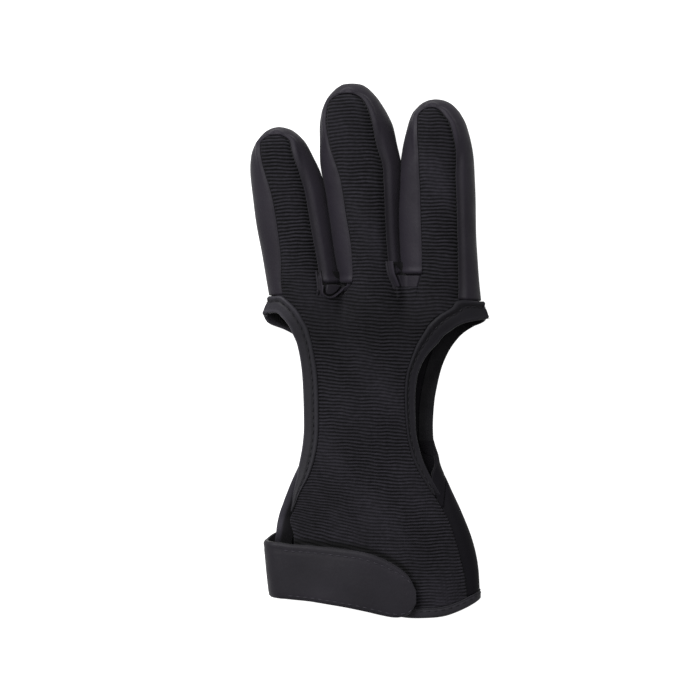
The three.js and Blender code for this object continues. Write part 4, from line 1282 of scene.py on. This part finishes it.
def build_web(fingers, start, end, relief, node):
    rows, columns = WEB_CELLS
    low, high = start - WEB_BELOW, end + WEB_ABOVE
    across = np.linspace(0, 1, columns)
    up = (np.linspace(low, high, rows)[:, None] - start) / (end - start)
    form = tucked(np.where(up < 0, -TUCK_DEPTH, relief(across, up)))
    points = crotch_grid(fingers, low, high, rows, columns)
    obj = leather_panel(node + "_leather", points, form, WEB_WALL, STALL)
    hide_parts(node)


def hem_turns():
    left = top_turn_right(edge_reach(BACK_LEFT, HEM_ROW))
    end = floor_turn(edge_reach(PALM_LEFT, HEM_ROW, STRAP_SLANT))
    side_start, side_end = HEM_SIDE_TURNS
    over_columns, side_columns, under_columns = HEM_COLUMNS
    over = np.linspace(left, side_start, over_columns, endpoint=False)
    side = np.linspace(side_start, side_end, side_columns, endpoint=False)
    under = np.linspace(side_end, end, under_columns)
    return np.concatenate([over, side, under])


def hem_grid(up):
    turns = hem_turns()
    turns = np.broadcast_to(turns, (len(up), len(turns)))
    guess = hand_point(np.full(turns.shape, HEM_ROW), turns)[..., 0]
    along = hem_along(guess) - HEM_WIDTH * up[:, None] / HAND_LENGTH
    return hand_point(along, turns)


def build_hem():
    up = np.linspace(0, 1, HEM_ROWS)
    edge = -0.9 * np.clip((0.3 - up) / 0.3, 0, 1) ** 2
    seam = -0.25 * bell(up - 0.86, 0.08)
    relief = (0.35 + edge + seam)[:, None]
    obj = leather_panel("cuff_hem_leather", hem_grid(up), relief, HEM_WALL, BINDING)
    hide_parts("cuff_hem")
    below, line, above = hem_grid(np.array([0.62, 0.72, 0.82]))
    outward = line_normals(line, below - above)
    build_stitches("cuff_hem_stitches", line, outward, 0.3)


def strap_lines():
    """Stations of the strap's outer face: its place, its edges and how its height is found."""
    lines = []
    for x in np.linspace(STRAP_SIDE_X + STRAP_UNDER_LENGTH, STRAP_LOOP_X, STRAP_UNDER_ROWS):
        lines.append((x, 0.0, 0.0, STRAP_LOOP_X))
    for angle in np.linspace(0, math.pi, STRAP_LOOP_ROWS + 2)[1:-1]:
        x = STRAP_LOOP_X - (STRAP_LOOP_X - STRAP_SIDE_X) * math.sin(angle)
        share = STRAP_LOOP_SHARE * smooth(2 * angle / math.pi)
        lines.append((x, (1 - math.cos(angle)) / 2, share, STRAP_LOOP_X))
    for share in 1 - (1 - np.linspace(0, 1, STRAP_TOP_ROWS)) ** 1.25:
        x = mix(STRAP_LOOP_X, STRAP_END_X, share)
        lines.append((x, 1.0, mix(STRAP_LOOP_SHARE, 1, share), x))
    return np.array(lines)


def strap_grid(place):
    x, lift, share, height_x = strap_lines().T
    pad_x = STRAP_END_X - PAD_INSET - PAD_LENGTH
    ride = STRAP_WALL + 0.4 + PAD_WALL * smooth((height_x - pad_x + PAD_RISE) / (0.95 * PAD_RISE))
    slanted = STRAP_SLANT * smooth((STRAP_LOOP_X + STRAP_SLANT_REACH - x) / STRAP_SLANT_REACH)
    upper = read(STRAP_EDGES, "upper", share)[:, None]
    lower = read(STRAP_EDGES, "lower", share)[:, None]
    along = mix(upper, lower, place)
    lean = slanted[:, None] * place
    z = (top_height(height_x[:, None] + lean, along) + ride[:, None]) * lift[:, None]
    wide_x = np.broadcast_to(x[:, None], along.shape)
    return np.stack([wide_x + lean, y_at(along, wide_x), z], axis=-1)


def build_strap():
    place = np.concatenate([[0, 0.012, 0.03, 0.06], np.linspace(0.1, 0.9, 24), [0.94, 0.97, 0.988, 1]])
    edges = -0.55 * (bell(place, 0.022) + bell(1 - place, 0.022))
    seams = -0.14 * (bell(place - STRAP_UPPER_SEAM, 0.025) + bell(place - STRAP_LOWER_SEAM, 0.02))
    obj = leather_panel("wrist_strap_leather", strap_grid(place), edges + seams, STRAP_WALL, STRAP)
    soften_rim(obj, 0.3)
    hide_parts("wrist_strap")
    names = {"strap_upper_stitches": STRAP_UPPER_SEAM, "strap_lower_stitches": STRAP_LOWER_SEAM}
    for name, at in names.items():
        near = strap_grid(np.array([at - 0.03, at, at + 0.03]))[STRAP_UNDER_ROWS + STRAP_LOOP_ROWS:-3]
        line = near[:, 1]
        outward = line_normals(line, near[:, 2] - near[:, 0])
        outward *= np.sign(outward[:, 2:3])
        build_stitches(name, line, outward, -0.1, LIGHT_THREAD)


def build_pad():
    middle_x = STRAP_END_X - PAD_INSET - PAD_LENGTH / 2
    reach = PAD_WIDTH / 2 / HAND_LENGTH
    rows, columns = PAD_CELLS
    along = np.linspace(PAD_ALONG + reach, PAD_ALONG - reach, rows)[:, None]
    x = np.linspace(-PAD_LENGTH / 2, PAD_LENGTH / 2, columns) + middle_x
    points = hand_top(np.broadcast_to(x, PAD_CELLS), along)
    points[..., 2] += PAD_WALL + 0.2
    sheet = Sheet()
    sheet.fill(sheet.grid(points))
    points, faces, _ = sheet.body(PAD_WALL)
    obj = make_object("strap_hook_tape", points, faces, HOOK, np.ones(len(points)))
    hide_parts("strap_hook_pad")


# Stage, camera and lights


def build_stage():
    corners = []
    for x, y in [(-1, -1), (1, -1), (1, 1), (-1, 1)]:
        corners.append((x * FLOOR_REACH, y * FLOOR_REACH, 0))
    mesh = bpy.data.meshes.new("floor")
    mesh.from_pydata(corners, [], [(0, 1, 2, 3)])
    floor = add_object("floor", mesh)
    floor.location.z = -FLOOR_DROP * MM
    material, _, shader = new_material("floor_white", (FLOOR_GREY,) * 3, 0.9, 0.0, 0.5)
    shader.inputs["Emission Color"].default_value = (1, 1, 1, 1)
    shader.inputs["Emission Strength"].default_value = 1.0
    floor.data.materials.append(material)


def build_camera():
    data = bpy.data.cameras.new("camera")
    data.lens = LENS
    data.sensor_width = SENSOR
    camera = add_object("camera", data)
    height = PHOTO_WIDTH / SENSOR * LENS + GLOVE_MIDDLE_Z
    camera.location = (PHOTO_MIDDLE_X * MM, PHOTO_MIDDLE_Y * MM, height * MM)
    bpy.context.scene.camera = camera


def add_light(name, place, size, power):
    data = bpy.data.lights.new(name, "AREA")
    data.shape = "DISK"
    data.size = size
    data.energy = power
    light = add_object(name, data)
    light.location = place
    toward = -light.location.normalized()
    light.rotation_euler = toward.to_track_quat("-Z", "Y").to_euler()


def build_lights():
    world = bpy.data.worlds.new("studio")
    world.use_nodes = True
    background = world.node_tree.nodes["Background"]
    background.inputs["Color"].default_value = (1, 1, 1, 1)
    background.inputs["Strength"].default_value = WORLD_STRENGTH
    bpy.context.scene.world = world
    for light in LIGHTS:
        add_light(*light)
    bpy.context.scene.view_settings.view_transform = "Standard"


build_stage()
build_camera()
build_lights()
build_back_panel()
for one_finger in FINGERS:
    build_stall(one_finger)
build_palm()
build_binding(-1, "thumb_side_binding", BINDING, THUMB_SIDE_STITCHED)
build_binding(1, "little_finger_side_binding", SHADED_BINDING, LITTLE_SIDE_STITCHED)
build_web([INDEX, MIDDLE], INDEX_WEB_START, WEB_LENGTH, index_web_relief, "web_index_middle")
build_web([MIDDLE, RING], RING_WEB_START, RING_WEB_END, ring_web_relief, "web_middle_ring")
build_hem()
build_strap()
build_pad()
